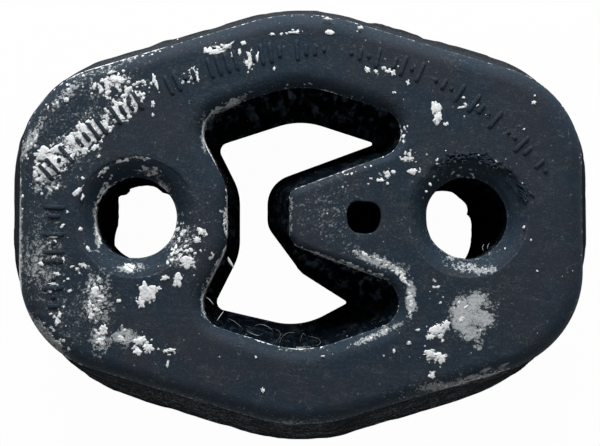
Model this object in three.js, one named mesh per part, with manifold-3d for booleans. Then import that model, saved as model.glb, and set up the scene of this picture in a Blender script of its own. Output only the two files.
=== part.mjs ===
// Exhaust hanger rubber: one moulded rubber block with a bore at each end for the two hanger rods,
// two bowed arms that join the ends, and a stop nose that reaches from one end into the opening
// between the arms. The mould parts at half thickness, so every wall leans back from there to both faces.
//
// Millimetres. X runs through both bores and Y across the arms. +Z is up, out of the front face.
// The origin is the centre of the back face, halfway between the bores.

import * as THREE from "three";
import { mergeVertices, toCreasedNormals } from "three/addons/utils/BufferGeometryUtils.js";
import Module from "manifold-3d";

const { degToRad } = THREE.MathUtils;

// Whole block
const THICKNESS = 30; // back face to front face
const BORE_SPACING = 43.5; // between the two bore centres
const LUG_REACH = 18.15; // bore centre to the end of the block, at the parting plane
const UPPER_CORNER_RADIUS = 17.4; // rounding of the block's two upper corners, at the parting plane
const LOWER_CORNER_RADIUS = 24; // and of its two lower ones
const FACE_CORNER_RADIUS = 12.5; // all four, where the walls meet a face

// Arms, measured at the parting plane
const ARM_WIDTH = 15.7; // crown of the opening to crown of the block
const ARM_SLOPE = degToRad(16.7); // fall of an arm's outer wall from its crown to the lug
const ARM_CROWN_RADIUS = 26; // rounding of that crown

// Opening between the arms, measured at the parting plane
const OPENING_RISE = 14.2; // centre line to the crown of the opening
const OPENING_SLOPE = degToRad(18); // fall of its upper and lower walls from the crown
const OPENING_CROWN_RADIUS = 10;
const LOWER_BOSS_SIDE_SLOPE = degToRad(13); // the lower wall's own fall on the boss's side
const LOWER_NOSE_SIDE_SLOPE = degToRad(28); // and its fall on the nose's side
const NOSE_POCKET_RADIUS = 0.5; // ends of the opening beside the nose
const BOSS_POCKET_RADIUS = 1.3; // ends of the opening beside the boss

// Boss that the nose comes to rest against, measured at the parting plane
const BOSS_REACH = 13.2; // bore centre to the boss wall
const BOSS_FLAT = 8.6; // straight stretch of that wall
const BOSS_SLOPE = degToRad(26.6); // lean of the wall beyond the flat
const BOSS_BEND_RADIUS = 8;

// Stop nose, measured at the parting plane
const STOP_GAP = 4; // boss wall to nose tip
const NOSE_TIP_WIDTH = 11; // across the tip, corners sharp
const NOSE_SLOPE = degToRad(20.3); // widening of the nose towards its root
const NOSE_TIP_RADIUS = 4.2;
const NOSE_LOWER_SLOPE = degToRad(32.4); // the lower side's own widening
const NOSE_SWELL_START = 6; // from the tip to where that side starts to stand out
const NOSE_BEVEL_START = 0.5; // below the centre line, where the bevel under the tip begins
const NOSE_BEVEL_SLOPE = degToRad(53.6); // fall of that bevel
const NOSE_BEVEL_RADIUS = 3; // bevel to lower side

// Walls, from the parting plane to a face
const SIDE_LEAN = 3.3; // how far a wall has stood back when it meets the face
const BOSS_LEAN = 1.4;
const NOSE_LEAN = 3.1;
const NOSE_BEVEL_LEAN = 1.25;
const FACE_ROUNDING = 2.3; // radius of the edge between a wall and a face
const NOSE_ROUNDING = 1.0;
const FLASH_HEIGHT = 0.2; // rib that the mould's joint leaves on the walls
const FLASH_THICKNESS = 0.7;

// Bores for the hanger rods
const BORE_DIAMETER = 10.6;
const COUNTERSINK_DIAMETER = 15.2; // at the face
const COUNTERSINK_DEPTH = 2;
const BORE_LIP_RADIUS = 0.6; // rounding where the countersink meets the bore

// Blind core hole in the nose
const CORE_HOLE_DIAMETER = 4.4;
const CORE_HOLE_DEPTH = 19;
const CORE_HOLE_SETBACK = 13.65; // before the bore centre behind the nose
const CORE_HOLE_CHAMFER = 0.25;
const CORE_HOLE_END_RISE = 0.8; // of its rounded floor

// Fineness of the facets
const SECTION_STEPS = 2; // along the edge rounding
const BORE_STEPS = 24;
const BORE_LIP_STEPS = 2;
const CORE_HOLE_STEPS = 12;
const CORE_HOLE_END_STEPS = 2;
const LEAST_RADIUS = 0.05; // of any corner
const CREASE_ANGLE = degToRad(12); // facets that meet at more than this show an edge
const CUTTER_OVERRUN = 1; // how far a cutting tool stands out of the block

const HALF = THICKNESS / 2;
const BORE_X = BORE_SPACING / 2;
const BOSS_X = -BORE_X + BOSS_REACH;
const NOSE_TIP_X = BOSS_X + STOP_GAP;

// A straight wall of an outline, which runs counterclockwise, so that what it encloses is on its left.
// section is the wall's section. faceHeading is its heading at the faces, where that differs.
function wall(x, y, heading, section, faceHeading = heading) {
  return { point: new THREE.Vector2(x, y), heading, faceHeading, section };
}

// The line of a wall at one step of its section: moved inward by the inset, and turned by the height.
function lineAt(side, step) {
  const { inset, height } = side.section[step];
  const heading = THREE.MathUtils.lerp(side.heading, side.faceHeading, height / HALF);
  const along = new THREE.Vector2(Math.cos(heading), Math.sin(heading));
  const inward = new THREE.Vector2(-along.y, along.x);
  return { point: side.point.clone().addScaledVector(inward, inset), along, inward, inset, height };
}

// Where two lines cross.
function crossing(a, b) {
  const gap = b.point.clone().sub(a.point);
  const reach = gap.cross(b.along) / a.along.cross(b.along);
  return a.point.clone().addScaledVector(a.along, reach);
}

// One corner as steps + 1 points of an arc that touches both lines. The height changes evenly along it.
function roundedCorner(a, b, radius, steps) {
  const corner = crossing(a, b);
  const turn = Math.atan2(a.along.cross(b.along), a.along.dot(b.along));
  const side = Math.sign(turn);
  const start = corner
    .clone()
    .addScaledVector(a.along, -radius * Math.tan(Math.abs(turn) / 2));
  const centre = start.clone().addScaledVector(a.inward, side * radius);
  return Array.from({ length: steps + 1 }, (_, i) => {
    const t = i / steps;
    const p = start.clone().rotateAround(centre, turn * t);
    return new THREE.Vector3(p.x, p.y, THREE.MathUtils.lerp(a.height, b.height, t));
  });
}

// A closed ring: the outline's walls at one step of their sections, joined by its corners.
// A corner that bulges out loses radius as its walls move in, and one that bulges in gains it.
// A corner with a faceRadius runs evenly to that radius at the face instead.
function ring(outline, step) {
  const { walls, corners } = outline;
  return walls.flatMap((side, i) => {
    const a = lineAt(side, step);
    const b = lineAt(walls[(i + 1) % walls.length], step);
    const { radius, faceRadius, steps } = corners[i];
    const moved = ((a.inset + b.inset) / 2) * Math.sign(a.along.cross(b.along));
    const reached = faceRadius
      ? THREE.MathUtils.lerp(radius, faceRadius, a.height / HALF)
      : radius - moved;
    return roundedCorner(a, b, Math.max(reached, LEAST_RADIUS), steps);
  });
}

// The section of a wall, from the tip of the flash at the parting plane up to the face, as steps of inset
// and height. toSolid is 1 where the outline encloses rubber and -1 where it encloses the opening.
function wallSection(lean, rounding, toSolid) {
  const slant = Math.atan2(lean, HALF);
  const sweep = Math.PI / 2 - slant;
  const tangent = rounding * Math.tan(sweep / 2);
  const centreInset = lean + tangent;
  const flashFoot = FLASH_THICKNESS / 2;
  const steps = [
    { inset: -FLASH_HEIGHT, height: 0 },
    { inset: (lean * flashFoot) / HALF, height: flashFoot },
  ];
  for (let i = 0; i <= SECTION_STEPS; i++) {
    const angle = slant + (sweep * i) / SECTION_STEPS;
    steps.push({
      inset: centreInset - rounding * Math.cos(angle),
      height: HALF - rounding + rounding * Math.sin(angle),
    });
  }
  return steps.map(({ inset, height }) => ({ inset: inset * toSolid, height }));
}

// A closed solid over a stack of rings that all have the same number of points, flat at both ends.
function loft(rings) {
  const count = rings[0].length;
  const positions = rings.flat().flatMap((p) => [p.x, p.y, p.z]);
  const index = [];
  for (let k = 0; k + 1 < rings.length; k++) {
    for (let i = 0; i < count; i++) {
      const next = (i + 1) % count;
      const [a, b] = [k * count + i, k * count + next];
      index.push(a, b, b + count, a, b + count, a + count);
    }
  }
  const last = (rings.length - 1) * count;
  const flat = rings[0].map((p) => new THREE.Vector2(p.x, p.y));
  const flatTop = rings[rings.length - 1].map((p) => new THREE.Vector2(p.x, p.y));
  for (const [a, b, c] of THREE.ShapeUtils.triangulateShape(flat, [])) index.push(c, b, a);
  for (const [a, b, c] of THREE.ShapeUtils.triangulateShape(flatTop, [])) {
    index.push(last + a, last + b, last + c);
  }
  const geometry = new THREE.BufferGeometry();
  geometry.setAttribute("position", new THREE.Float32BufferAttribute(positions, 3));
  geometry.setIndex(index);
  return geometry;
}

// Both halves of an outline's walls: up from the parting plane, and mirrored down from it.
// overrun carries the outline on past both faces, as a cutting tool needs.
function bothHalves(outline, overrun = 0) {
  const top = outline.walls[0].section.map((_, step) => ring(outline, step));
  if (overrun > 0) {
    top.push(top[top.length - 1].map((p) => new THREE.Vector3(p.x, p.y, HALF + overrun)));
  }
  const raised = (points, sign) => points.map((p) => new THREE.Vector3(p.x, p.y, HALF + sign * p.z));
  const below = top.slice(1).reverse().map((points) => raised(points, -1));
  const above = top.map((points) => raised(points, 1));
  return loft([...below, ...above]);
}

// The block's own outline: two straight ends and four sloping arm walls.
function blockOutline() {
  const section = wallSection(SIDE_LEAN, FACE_ROUNDING, 1);
  const crownY = OPENING_RISE + ARM_WIDTH;
  const peakY = crownY + ARM_CROWN_RADIUS * (1 / Math.cos(ARM_SLOPE) - 1);
  const endX = BORE_X + LUG_REACH;
  const upper = { radius: UPPER_CORNER_RADIUS, faceRadius: FACE_CORNER_RADIUS, steps: 7 };
  const lower = { radius: LOWER_CORNER_RADIUS, faceRadius: FACE_CORNER_RADIUS, steps: 7 };
  const crown = { radius: ARM_CROWN_RADIUS, steps: 4 };
  return {
    walls: [
      wall(endX, 0, Math.PI / 2, section),
      wall(0, peakY, Math.PI - ARM_SLOPE, section),
      wall(0, peakY, Math.PI + ARM_SLOPE, section),
      wall(-endX, 0, -Math.PI / 2, section),
      wall(0, -peakY, -ARM_SLOPE, section),
      wall(0, -peakY, ARM_SLOPE, section),
    ],
    corners: [upper, crown, upper, lower, crown, lower],
  };
}

// The opening: four arm walls, the boss with its flat, and the nose with the bevel under its tip.
// The lower walls swell at the parting plane, and mirror the upper ones at the faces.
function openingOutline() {
  const side = wallSection(SIDE_LEAN, FACE_ROUNDING, -1);
  const boss = wallSection(BOSS_LEAN, FACE_ROUNDING, -1);
  const nose = wallSection(NOSE_LEAN, NOSE_ROUNDING, -1);
  const bevel = wallSection(NOSE_BEVEL_LEAN, NOSE_ROUNDING, -1);
  const crown = { radius: OPENING_CROWN_RADIUS, steps: 4 };
  const bossPocket = { radius: BOSS_POCKET_RADIUS, steps: 6 };
  const nosePocket = { radius: NOSE_POCKET_RADIUS, steps: 6 };
  const bossBend = { radius: BOSS_BEND_RADIUS, steps: 2 };
  const noseCorner = { radius: NOSE_TIP_RADIUS, steps: 4 };
  const bevelCorner = { radius: NOSE_BEVEL_RADIUS, steps: 2 };
  const peakY = OPENING_RISE + OPENING_CROWN_RADIUS * (1 / Math.cos(OPENING_SLOPE) - 1);
  const [bendY, tipY] = [BOSS_FLAT / 2, NOSE_TIP_WIDTH / 2];
  const swellX = NOSE_TIP_X + NOSE_SWELL_START;
  const swellY = tipY + NOSE_SWELL_START * Math.tan(NOSE_SLOPE);
  const down = -Math.PI / 2;
  return {
    walls: [
      wall(0, peakY, Math.PI - OPENING_SLOPE, side),
      wall(0, peakY, Math.PI + OPENING_SLOPE, side),
      wall(BOSS_X, bendY, down + BOSS_SLOPE, boss),
      wall(BOSS_X, 0, down, boss),
      wall(BOSS_X, -bendY, down - BOSS_SLOPE, boss),
      wall(0, -peakY, -LOWER_BOSS_SIDE_SLOPE, side, -OPENING_SLOPE),
      wall(0, -peakY, LOWER_NOSE_SIDE_SLOPE, side, OPENING_SLOPE),
      wall(swellX, -swellY, Math.PI - NOSE_LOWER_SLOPE, nose, Math.PI - NOSE_SLOPE),
      wall(NOSE_TIP_X, -NOSE_BEVEL_START, Math.PI - NOSE_BEVEL_SLOPE, bevel),
      wall(NOSE_TIP_X, 0, Math.PI / 2, nose),
      wall(NOSE_TIP_X, tipY, NOSE_SLOPE, nose),
    ],
    corners: [
      crown, bossPocket, bossBend, bossBend, bossPocket, crown,
      nosePocket, bevelCorner, bevelCorner, noseCorner, nosePocket,
    ],
  };
}

// A turned tool on the Z axis, from its profile of [radius, height] points, bottom to top.
function turned(profile, steps) {
  const points = profile.map(([r, z]) => new THREE.Vector2(r, z));
  return new THREE.LatheGeometry(points, steps).rotateX(Math.PI / 2);
}

// The bore with a countersink at each face and a rounded lip where the two meet.
function boreTool() {
  const radius = BORE_DIAMETER / 2;
  const mouth = COUNTERSINK_DIAMETER / 2;
  const slant = Math.atan2(COUNTERSINK_DEPTH, mouth - radius);
  const tangent = BORE_LIP_RADIUS * Math.tan((Math.PI / 2 - slant) / 2);
  const lipTop = HALF - COUNTERSINK_DEPTH - tangent;
  const lip = Array.from({ length: BORE_LIP_STEPS + 1 }, (_, i) => {
    const angle = ((Math.PI / 2 - slant) * i) / BORE_LIP_STEPS;
    return [
      radius + BORE_LIP_RADIUS * (1 - Math.cos(angle)),
      lipTop + BORE_LIP_RADIUS * Math.sin(angle),
    ];
  });
  const overMouth = mouth + (CUTTER_OVERRUN * (mouth - radius)) / COUNTERSINK_DEPTH;
  const upper = [...lip, [overMouth, HALF + CUTTER_OVERRUN]];
  const lower = upper.map(([r, z]) => [r, -z]).reverse();
  const bottom = [0, -HALF - CUTTER_OVERRUN];
  const top = [0, HALF + CUTTER_OVERRUN];
  return turned([bottom, ...lower, ...upper, top], BORE_STEPS).translate(0, 0, HALF);
}

// The blind hole that the mould's core pin leaves in the nose, open at the front face.
function coreHoleTool() {
  const radius = CORE_HOLE_DIAMETER / 2;
  const floor = THICKNESS - CORE_HOLE_DEPTH;
  const mouth = THICKNESS - CORE_HOLE_CHAMFER;
  const end = Array.from({ length: CORE_HOLE_END_STEPS + 1 }, (_, i) => {
    const angle = (Math.PI / 2) * (i / CORE_HOLE_END_STEPS);
    return [radius * Math.sin(angle), floor + CORE_HOLE_END_RISE * (1 - Math.cos(angle))];
  });
  const profile = [
    ...end,
    [radius, mouth],
    [radius + CORE_HOLE_CHAMFER, THICKNESS],
    [radius + CORE_HOLE_CHAMFER, THICKNESS + CUTTER_OVERRUN],
    [0, THICKNESS + CUTTER_OVERRUN],
  ];
  return turned(profile, CORE_HOLE_STEPS);
}

const wasm = await Module();
wasm.setup();

// A closed geometry as a manifold solid.
function toSolid(geometry) {
  const bare = geometry.clone();
  bare.deleteAttribute("normal");
  bare.deleteAttribute("uv");
  const merged = mergeVertices(bare, 1e-4);
  return new wasm.Manifold(
    new wasm.Mesh({
      numProp: 3,
      vertProperties: merged.attributes.position.array,
      triVerts: new Uint32Array(merged.index.array),
    }),
  );
}

// A manifold solid as a three.js geometry.
function toGeometry(solid) {
  const mesh = solid.getMesh();
  const geometry = new THREE.BufferGeometry();
  geometry.setAttribute("position", new THREE.BufferAttribute(mesh.vertProperties, 3));
  geometry.setIndex(new THREE.BufferAttribute(mesh.triVerts, 1));
  return toCreasedNormals(geometry, CREASE_ANGLE);
}

// The whole moulding: the block, less the opening, the two bores and the core hole.
function hangerRubber() {
  const bore = boreTool();
  const tools = [
    bothHalves(openingOutline(), CUTTER_OVERRUN),
    bore.clone().translate(-BORE_X, 0, 0),
    bore.clone().translate(BORE_X, 0, 0),
    coreHoleTool().translate(BORE_X - CORE_HOLE_SETBACK, 0, 0),
  ];
  const block = toSolid(bothHalves(blockOutline()));
  return toGeometry(tools.reduce((solid, tool) => solid.subtract(toSolid(tool)), block));
}

const blackRubber = new THREE.MeshStandardMaterial({
  color: 0x2c333a,
  roughness: 0.72,
  metalness: 0,
});

const moulding = new THREE.Mesh(hangerRubber(), blackRubber);
moulding.name = "hanger_rubber";

const group = new THREE.Group();
group.add(moulding);

export default group;
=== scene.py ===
"""Looks of an exhaust hanger rubber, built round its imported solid.

The rubber is one moulding that lies on its back face. Its surface is made here as one fine closed mesh:
two outlines carried from the parting plane to both faces, two turned bores, a turned core hole and two
triangulated faces. Raised moulding marks, chalk flakes, crumbs of torn rubber and a few fibres lie on
it. Lengths are in millimetres until a mesh is made. X runs through both bores, Y across the arms and Z
out of the front face. Pixels are those of the photograph, with rows counted downwards.
"""

import logging
import math
from dataclasses import astuple, dataclass, field
from enum import Enum, IntEnum
from itertools import product
from typing import ClassVar, Protocol

import bpy
import numpy as np
from mathutils import Matrix, Vector
from mathutils.geometry import delaunay_2d_cdt


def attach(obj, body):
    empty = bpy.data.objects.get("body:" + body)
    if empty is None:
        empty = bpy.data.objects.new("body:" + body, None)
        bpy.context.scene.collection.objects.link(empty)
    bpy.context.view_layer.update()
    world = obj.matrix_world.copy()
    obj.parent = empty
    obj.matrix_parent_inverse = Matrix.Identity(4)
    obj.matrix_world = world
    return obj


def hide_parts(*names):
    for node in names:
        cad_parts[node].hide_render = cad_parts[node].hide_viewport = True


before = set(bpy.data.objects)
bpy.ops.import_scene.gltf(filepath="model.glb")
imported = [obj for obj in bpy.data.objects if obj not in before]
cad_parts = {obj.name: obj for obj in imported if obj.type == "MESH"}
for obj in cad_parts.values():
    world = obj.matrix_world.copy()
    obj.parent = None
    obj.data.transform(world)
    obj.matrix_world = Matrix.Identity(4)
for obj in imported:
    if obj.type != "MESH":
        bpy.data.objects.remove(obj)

log = logging.getLogger("hanger_rubber")

MM = 0.001  # metres in a millimetre
BODY = "root"
NODE = "hanger_rubber"
EFFECT_NAMES = ("deposit", "film", "abrasion", "crease", "bands", "roll")  # one number each at every vertex
IN_PLAN = np.array([1, 1, 0])
BLOCK_POINTS = 2000  # points compared at a time, to fit in memory
FLOAT, VECTOR, COLOUR = "NodeSocketFloat", "NodeSocketVector", "NodeSocketColor"
Socket = bpy.types.NodeSocket
Colour = tuple[float, float, float, float]
Pair = tuple[float, float]
WHITE: Colour = (1, 1, 1, 1)
Amount = np.ndarray | float
Sockets = dict[str, Socket]
Given = dict[str | int, object]
Name, Ports = ClassVar[str], ClassVar[dict[str, str]]


class Side(Enum):
    """What an outline encloses."""

    RUBBER = 1
    OPENING = -1


class Skin(Enum):
    """Where on the rubber a surface lies. The value is its material's place on the mesh."""

    FACE = 0
    SIDE = 1
    INNER = 2


class Seed(IntEnum):
    """The seed of each noise pattern."""

    FLASH_GRAIN = 11
    FLASH_TONGUES = 14
    CRUMBS = 19
    LEFT_BORE = 21
    RIGHT_BORE = 22
    FLUTES = 41
    BROAD_FLUTES = 42
    FLUTE_CHANGE = 43
    SAG = 51
    FINE_SAG = 52
    DUST = 61


def value_noise(points: np.ndarray, cell: float, seed: int) -> np.ndarray:
    """Smooth random values from 0 to 1.

    Each corner of a cubic lattice has a fixed random value, hashed from its three whole numbers. A point
    takes the eight values round it, weighted by the eased share 3t^2 - 2t^3 along each axis.

    Args:
        points: positions in millimetres, in any layout.
        cell: lattice pitch in millimetres.
        seed: picks one of many lattices.

    Returns:
        One value for each point, in the same layout.
    """
    place = points / cell
    base = np.floor(place).astype(np.int64)
    share = place - base
    share = share * share * (3 - 2 * share)
    total = np.zeros(points.shape[:-1])
    for corner in product((0, 1), repeat=3):
        at = base + np.array(corner)
        key = at @ np.array([374761393, 668265263, 1440662683]) + seed * 974634777
        key = (key ^ (key >> 13)) * 1274126177
        value = ((key ^ (key >> 16)) & 0xFFFFFF) / float(0xFFFFFF)
        total += value * np.prod(np.where(corner, share, 1 - share), axis=-1)
    return total


def fractal(points: np.ndarray, cell: float, seed: int, octaves: int = 4) -> np.ndarray:
    """Layers of value noise, each at half the pitch and 0.55 of the strength of the last, from 0 to 1.

    Args:
        points: positions in millimetres, in any layout.
        cell: pitch of the coarsest layer.
        seed: picks one of many patterns.
        octaves: number of layers.

    Returns:
        One value for each point, in the same layout.
    """
    weights = 0.55 ** np.arange(octaves)
    layers = [w * value_noise(points, cell / 2**i, seed + 31 * i) for i, w in enumerate(weights)]
    return np.sum(layers, axis=0) / weights.sum()


def bell(distance: np.ndarray, width: float) -> np.ndarray:
    """1 at no distance, falling as exp(-(distance / width)^2)."""
    return np.exp(-((distance / width) ** 2))


def ease(value: np.ndarray, low: float, high: float) -> np.ndarray:
    """0 below low and 1 above high, with the smooth step 3t^2 - 2t^3 between."""
    t = np.clip((value - low) / (high - low), 0, 1)
    return t * t * (3 - 2 * t)


def fade(value: np.ndarray, low: float, high: float) -> np.ndarray:
    """1 below low and 0 above high, with the same smooth step between."""
    return ease(-value, -high, -low)


def round_angles(count: int) -> np.ndarray:
    """Even angles round a full turn, from 0."""
    return np.linspace(0, 2 * math.pi, count, endpoint=False)


def unit_ring(angle: np.ndarray) -> np.ndarray:
    """Points at radius 1 about Z at each angle."""
    return np.stack([np.cos(angle), np.sin(angle), np.zeros_like(angle)], axis=-1)


def curve_through(first: np.ndarray, middle: np.ndarray, last: np.ndarray, t: np.ndarray) -> np.ndarray:
    """The quadratic curve through three points, with the middle one at half way, at each share t."""
    control = 2 * middle - (first + last) / 2
    return first * (1 - t) ** 2 + 2 * control * t * (1 - t) + last * t**2


def turned(along: np.ndarray, across: np.ndarray, angle: np.ndarray) -> np.ndarray:
    """Plane points from their two coordinates, turned counterclockwise by an angle."""
    c, s = np.cos(angle), np.sin(angle)
    return np.stack([along * c - across * s, along * s + across * c], axis=-1)


def looking(direction: Vector, up: Vector) -> Matrix:
    """The rotation of a camera or lamp that looks along a direction, as near upright as may be.

    Args:
        direction: where it looks.
        up: what stands upright in its picture.

    Returns:
        A rotation whose columns are its right, its upright and its back.
    """
    back = -direction.normalized()
    right = up.cross(back).normalized()
    return Matrix((right, back.cross(right), back)).transposed()


@dataclass(frozen=True)
class Viewpoint:
    """Where the camera of the photograph stood, worked out from the bores and the parting line."""

    width: int = 600
    height: int = 446
    foot_column: float = 285  # pixel straight below the camera
    foot_row: float = 305
    foot_x: float = -2.17  # the same point on the front face
    foot_y: float = -11.44
    face_scale: float = 0.13  # millimetres to a pixel on the front face
    distance: float = 195  # camera to the front face
    face_height: float = 30
    sensor: float = 36

    def lens(self) -> float:
        """Focal length that gives the face its scale."""
        return self.sensor * self.distance / (self.width * self.face_scale)

    def pixel_of(self, points: np.ndarray) -> tuple[np.ndarray, np.ndarray]:
        """Column and row at which the photograph shows each point.

        A pixel is worth face_scale on the front face, and more in proportion to the distance.

        Args:
            points: positions in millimetres, in any layout.

        Returns:
            Columns and rows.
        """
        depth = self.face_height - points[..., 2]
        scale = self.face_scale * (self.distance + depth) / self.distance
        column = self.foot_column + (points[..., 0] - self.foot_x) / scale
        row = self.foot_row - (points[..., 1] - self.foot_y) / scale
        return column, row

    def on_face(self, column: float, row: float) -> tuple[float, float]:
        """X and Y of the front face's point that the photograph shows at a pixel."""
        x, y, _ = self.at_depth(column, row, 0.0)
        return x, y

    def at_depth(self, column: float, row: float, depth: float) -> tuple[float, float, float]:
        """The point some way below the front face that the photograph shows at a pixel."""
        scale = self.face_scale * (self.distance + depth) / self.distance
        right, up = (column - self.foot_column) * scale, (self.foot_row - row) * scale
        return self.foot_x + right, self.foot_y + up, self.face_height - depth

    def camera(self) -> None:
        """Makes the scene's camera above its foot, aimed at the middle of the picture."""
        data = bpy.data.cameras.new("photo_camera")
        data.lens = self.lens()
        data.sensor_width = self.sensor
        camera = bpy.data.objects.new("photo_camera", data)
        bpy.context.scene.collection.objects.link(camera)
        aim_x, aim_y = self.on_face(self.width / 2, self.height / 2)
        place = Vector((self.foot_x, self.foot_y, self.face_height + self.distance)) * MM
        aim = Vector((aim_x, aim_y, self.face_height)) * MM
        camera.location = place
        camera.rotation_euler = looking(aim - place, Vector((0, 1, 0))).to_euler()
        data.clip_start, data.clip_end = 0.01, 10
        bpy.context.scene.camera = camera


@dataclass(frozen=True)
class Section:
    """A wall's section, from the tip of the flash at the parting plane to the flat of a face.

    The wall leans back by lean over half the thickness. At the crease it bends by an angle, and an arc of
    radius rounding then runs onto the face, which it touches.
    """

    lean: float
    rounding: float
    half: float
    crease: float = math.radians(16)
    crease_rise: float = 0.05
    flash_height: float = 0.2
    flash_half: float = 0.35
    flash_rise: tuple[float, ...] = (0, 0.3, 0.65)  # height of the flash's steps, over flash_half
    flash_reach: tuple[float, ...] = (1, 0.85, 0.35)  # how far they stand out, over flash_height
    below_crease: tuple[float, ...] = (0.6, 0.3, 0.08)  # distance of the last steps under the crease
    past_crease: float = 0.03  # share of the rounding's turn at its first step
    wall_steps: int = 9
    round_steps: int = 9

    def steps(self) -> tuple[np.ndarray, np.ndarray]:
        """Inset and height of each step.

        Returns:
            Insets into the rubber and heights above the parting plane.
        """
        start = math.atan2(self.lean, self.half) + self.crease
        share = np.linspace(0, 1, self.round_steps + 1)
        angle = start + (math.pi / 2 - start) * np.concatenate([share[:1], [self.past_crease], share[1:]])
        round_height = self.half - self.rounding + self.rounding * np.sin(angle)
        top = round_height[0]
        centre = self.lean * top / self.half + self.rounding * math.cos(start)
        round_inset = centre - self.rounding * np.cos(angle)
        near = top - np.array(self.below_crease)
        wall_height = np.concatenate([np.linspace(self.flash_half, near[0], self.wall_steps)[:-1], near])
        wall_inset = self.lean * wall_height / self.half
        flash_height = self.flash_half * np.array(self.flash_rise)
        flash_inset = -self.flash_height * np.array(self.flash_reach)
        round_inset[0] -= self.crease_rise
        return (
            np.concatenate([flash_inset, wall_inset, round_inset]),
            np.concatenate([flash_height, wall_height, round_height]),
        )

    def crease_step(self) -> int:
        """Which step is the crease."""
        return len(self.flash_rise) + (self.wall_steps - 1) + len(self.below_crease)


@dataclass(frozen=True)
class Wall:
    """A straight wall of an outline that runs counterclockwise, at the parting plane."""

    x: float
    y: float
    heading: float
    section: Section
    face_heading: float | None = None


@dataclass(frozen=True)
class Corner:
    """The arc between a wall and the next one, and how many points each of them has."""

    radius: float
    arc_points: int
    wall_points: int
    face_radius: float | None = None


@dataclass
class Surface:
    """A closed strip of rings: points[ring, place round it] and how far each is above the parting plane.

    past_crease is how many steps each ring lies beyond the crease, towards its face.
    """

    points: np.ndarray
    level: np.ndarray
    past_crease: np.ndarray | None = None

    def crease(self) -> np.ndarray:
        """1 on the two crease rings, 0.5 next to them and 0 elsewhere."""
        steps = np.abs(self.past_crease)
        ring = np.where(steps == 0, 1.0, np.where(steps == 1, 0.5, 0.0))
        return np.repeat(ring[:, None], self.points.shape[1], axis=1)

    def skins(self, wall: Skin) -> np.ndarray:
        """The skin of each gap between rings: the wall's own up to the crease, and the face's beyond it."""
        within = np.minimum(self.past_crease[:-1], self.past_crease[1:]) < 0
        return np.where(within, wall.value, Skin.FACE.value)


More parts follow.
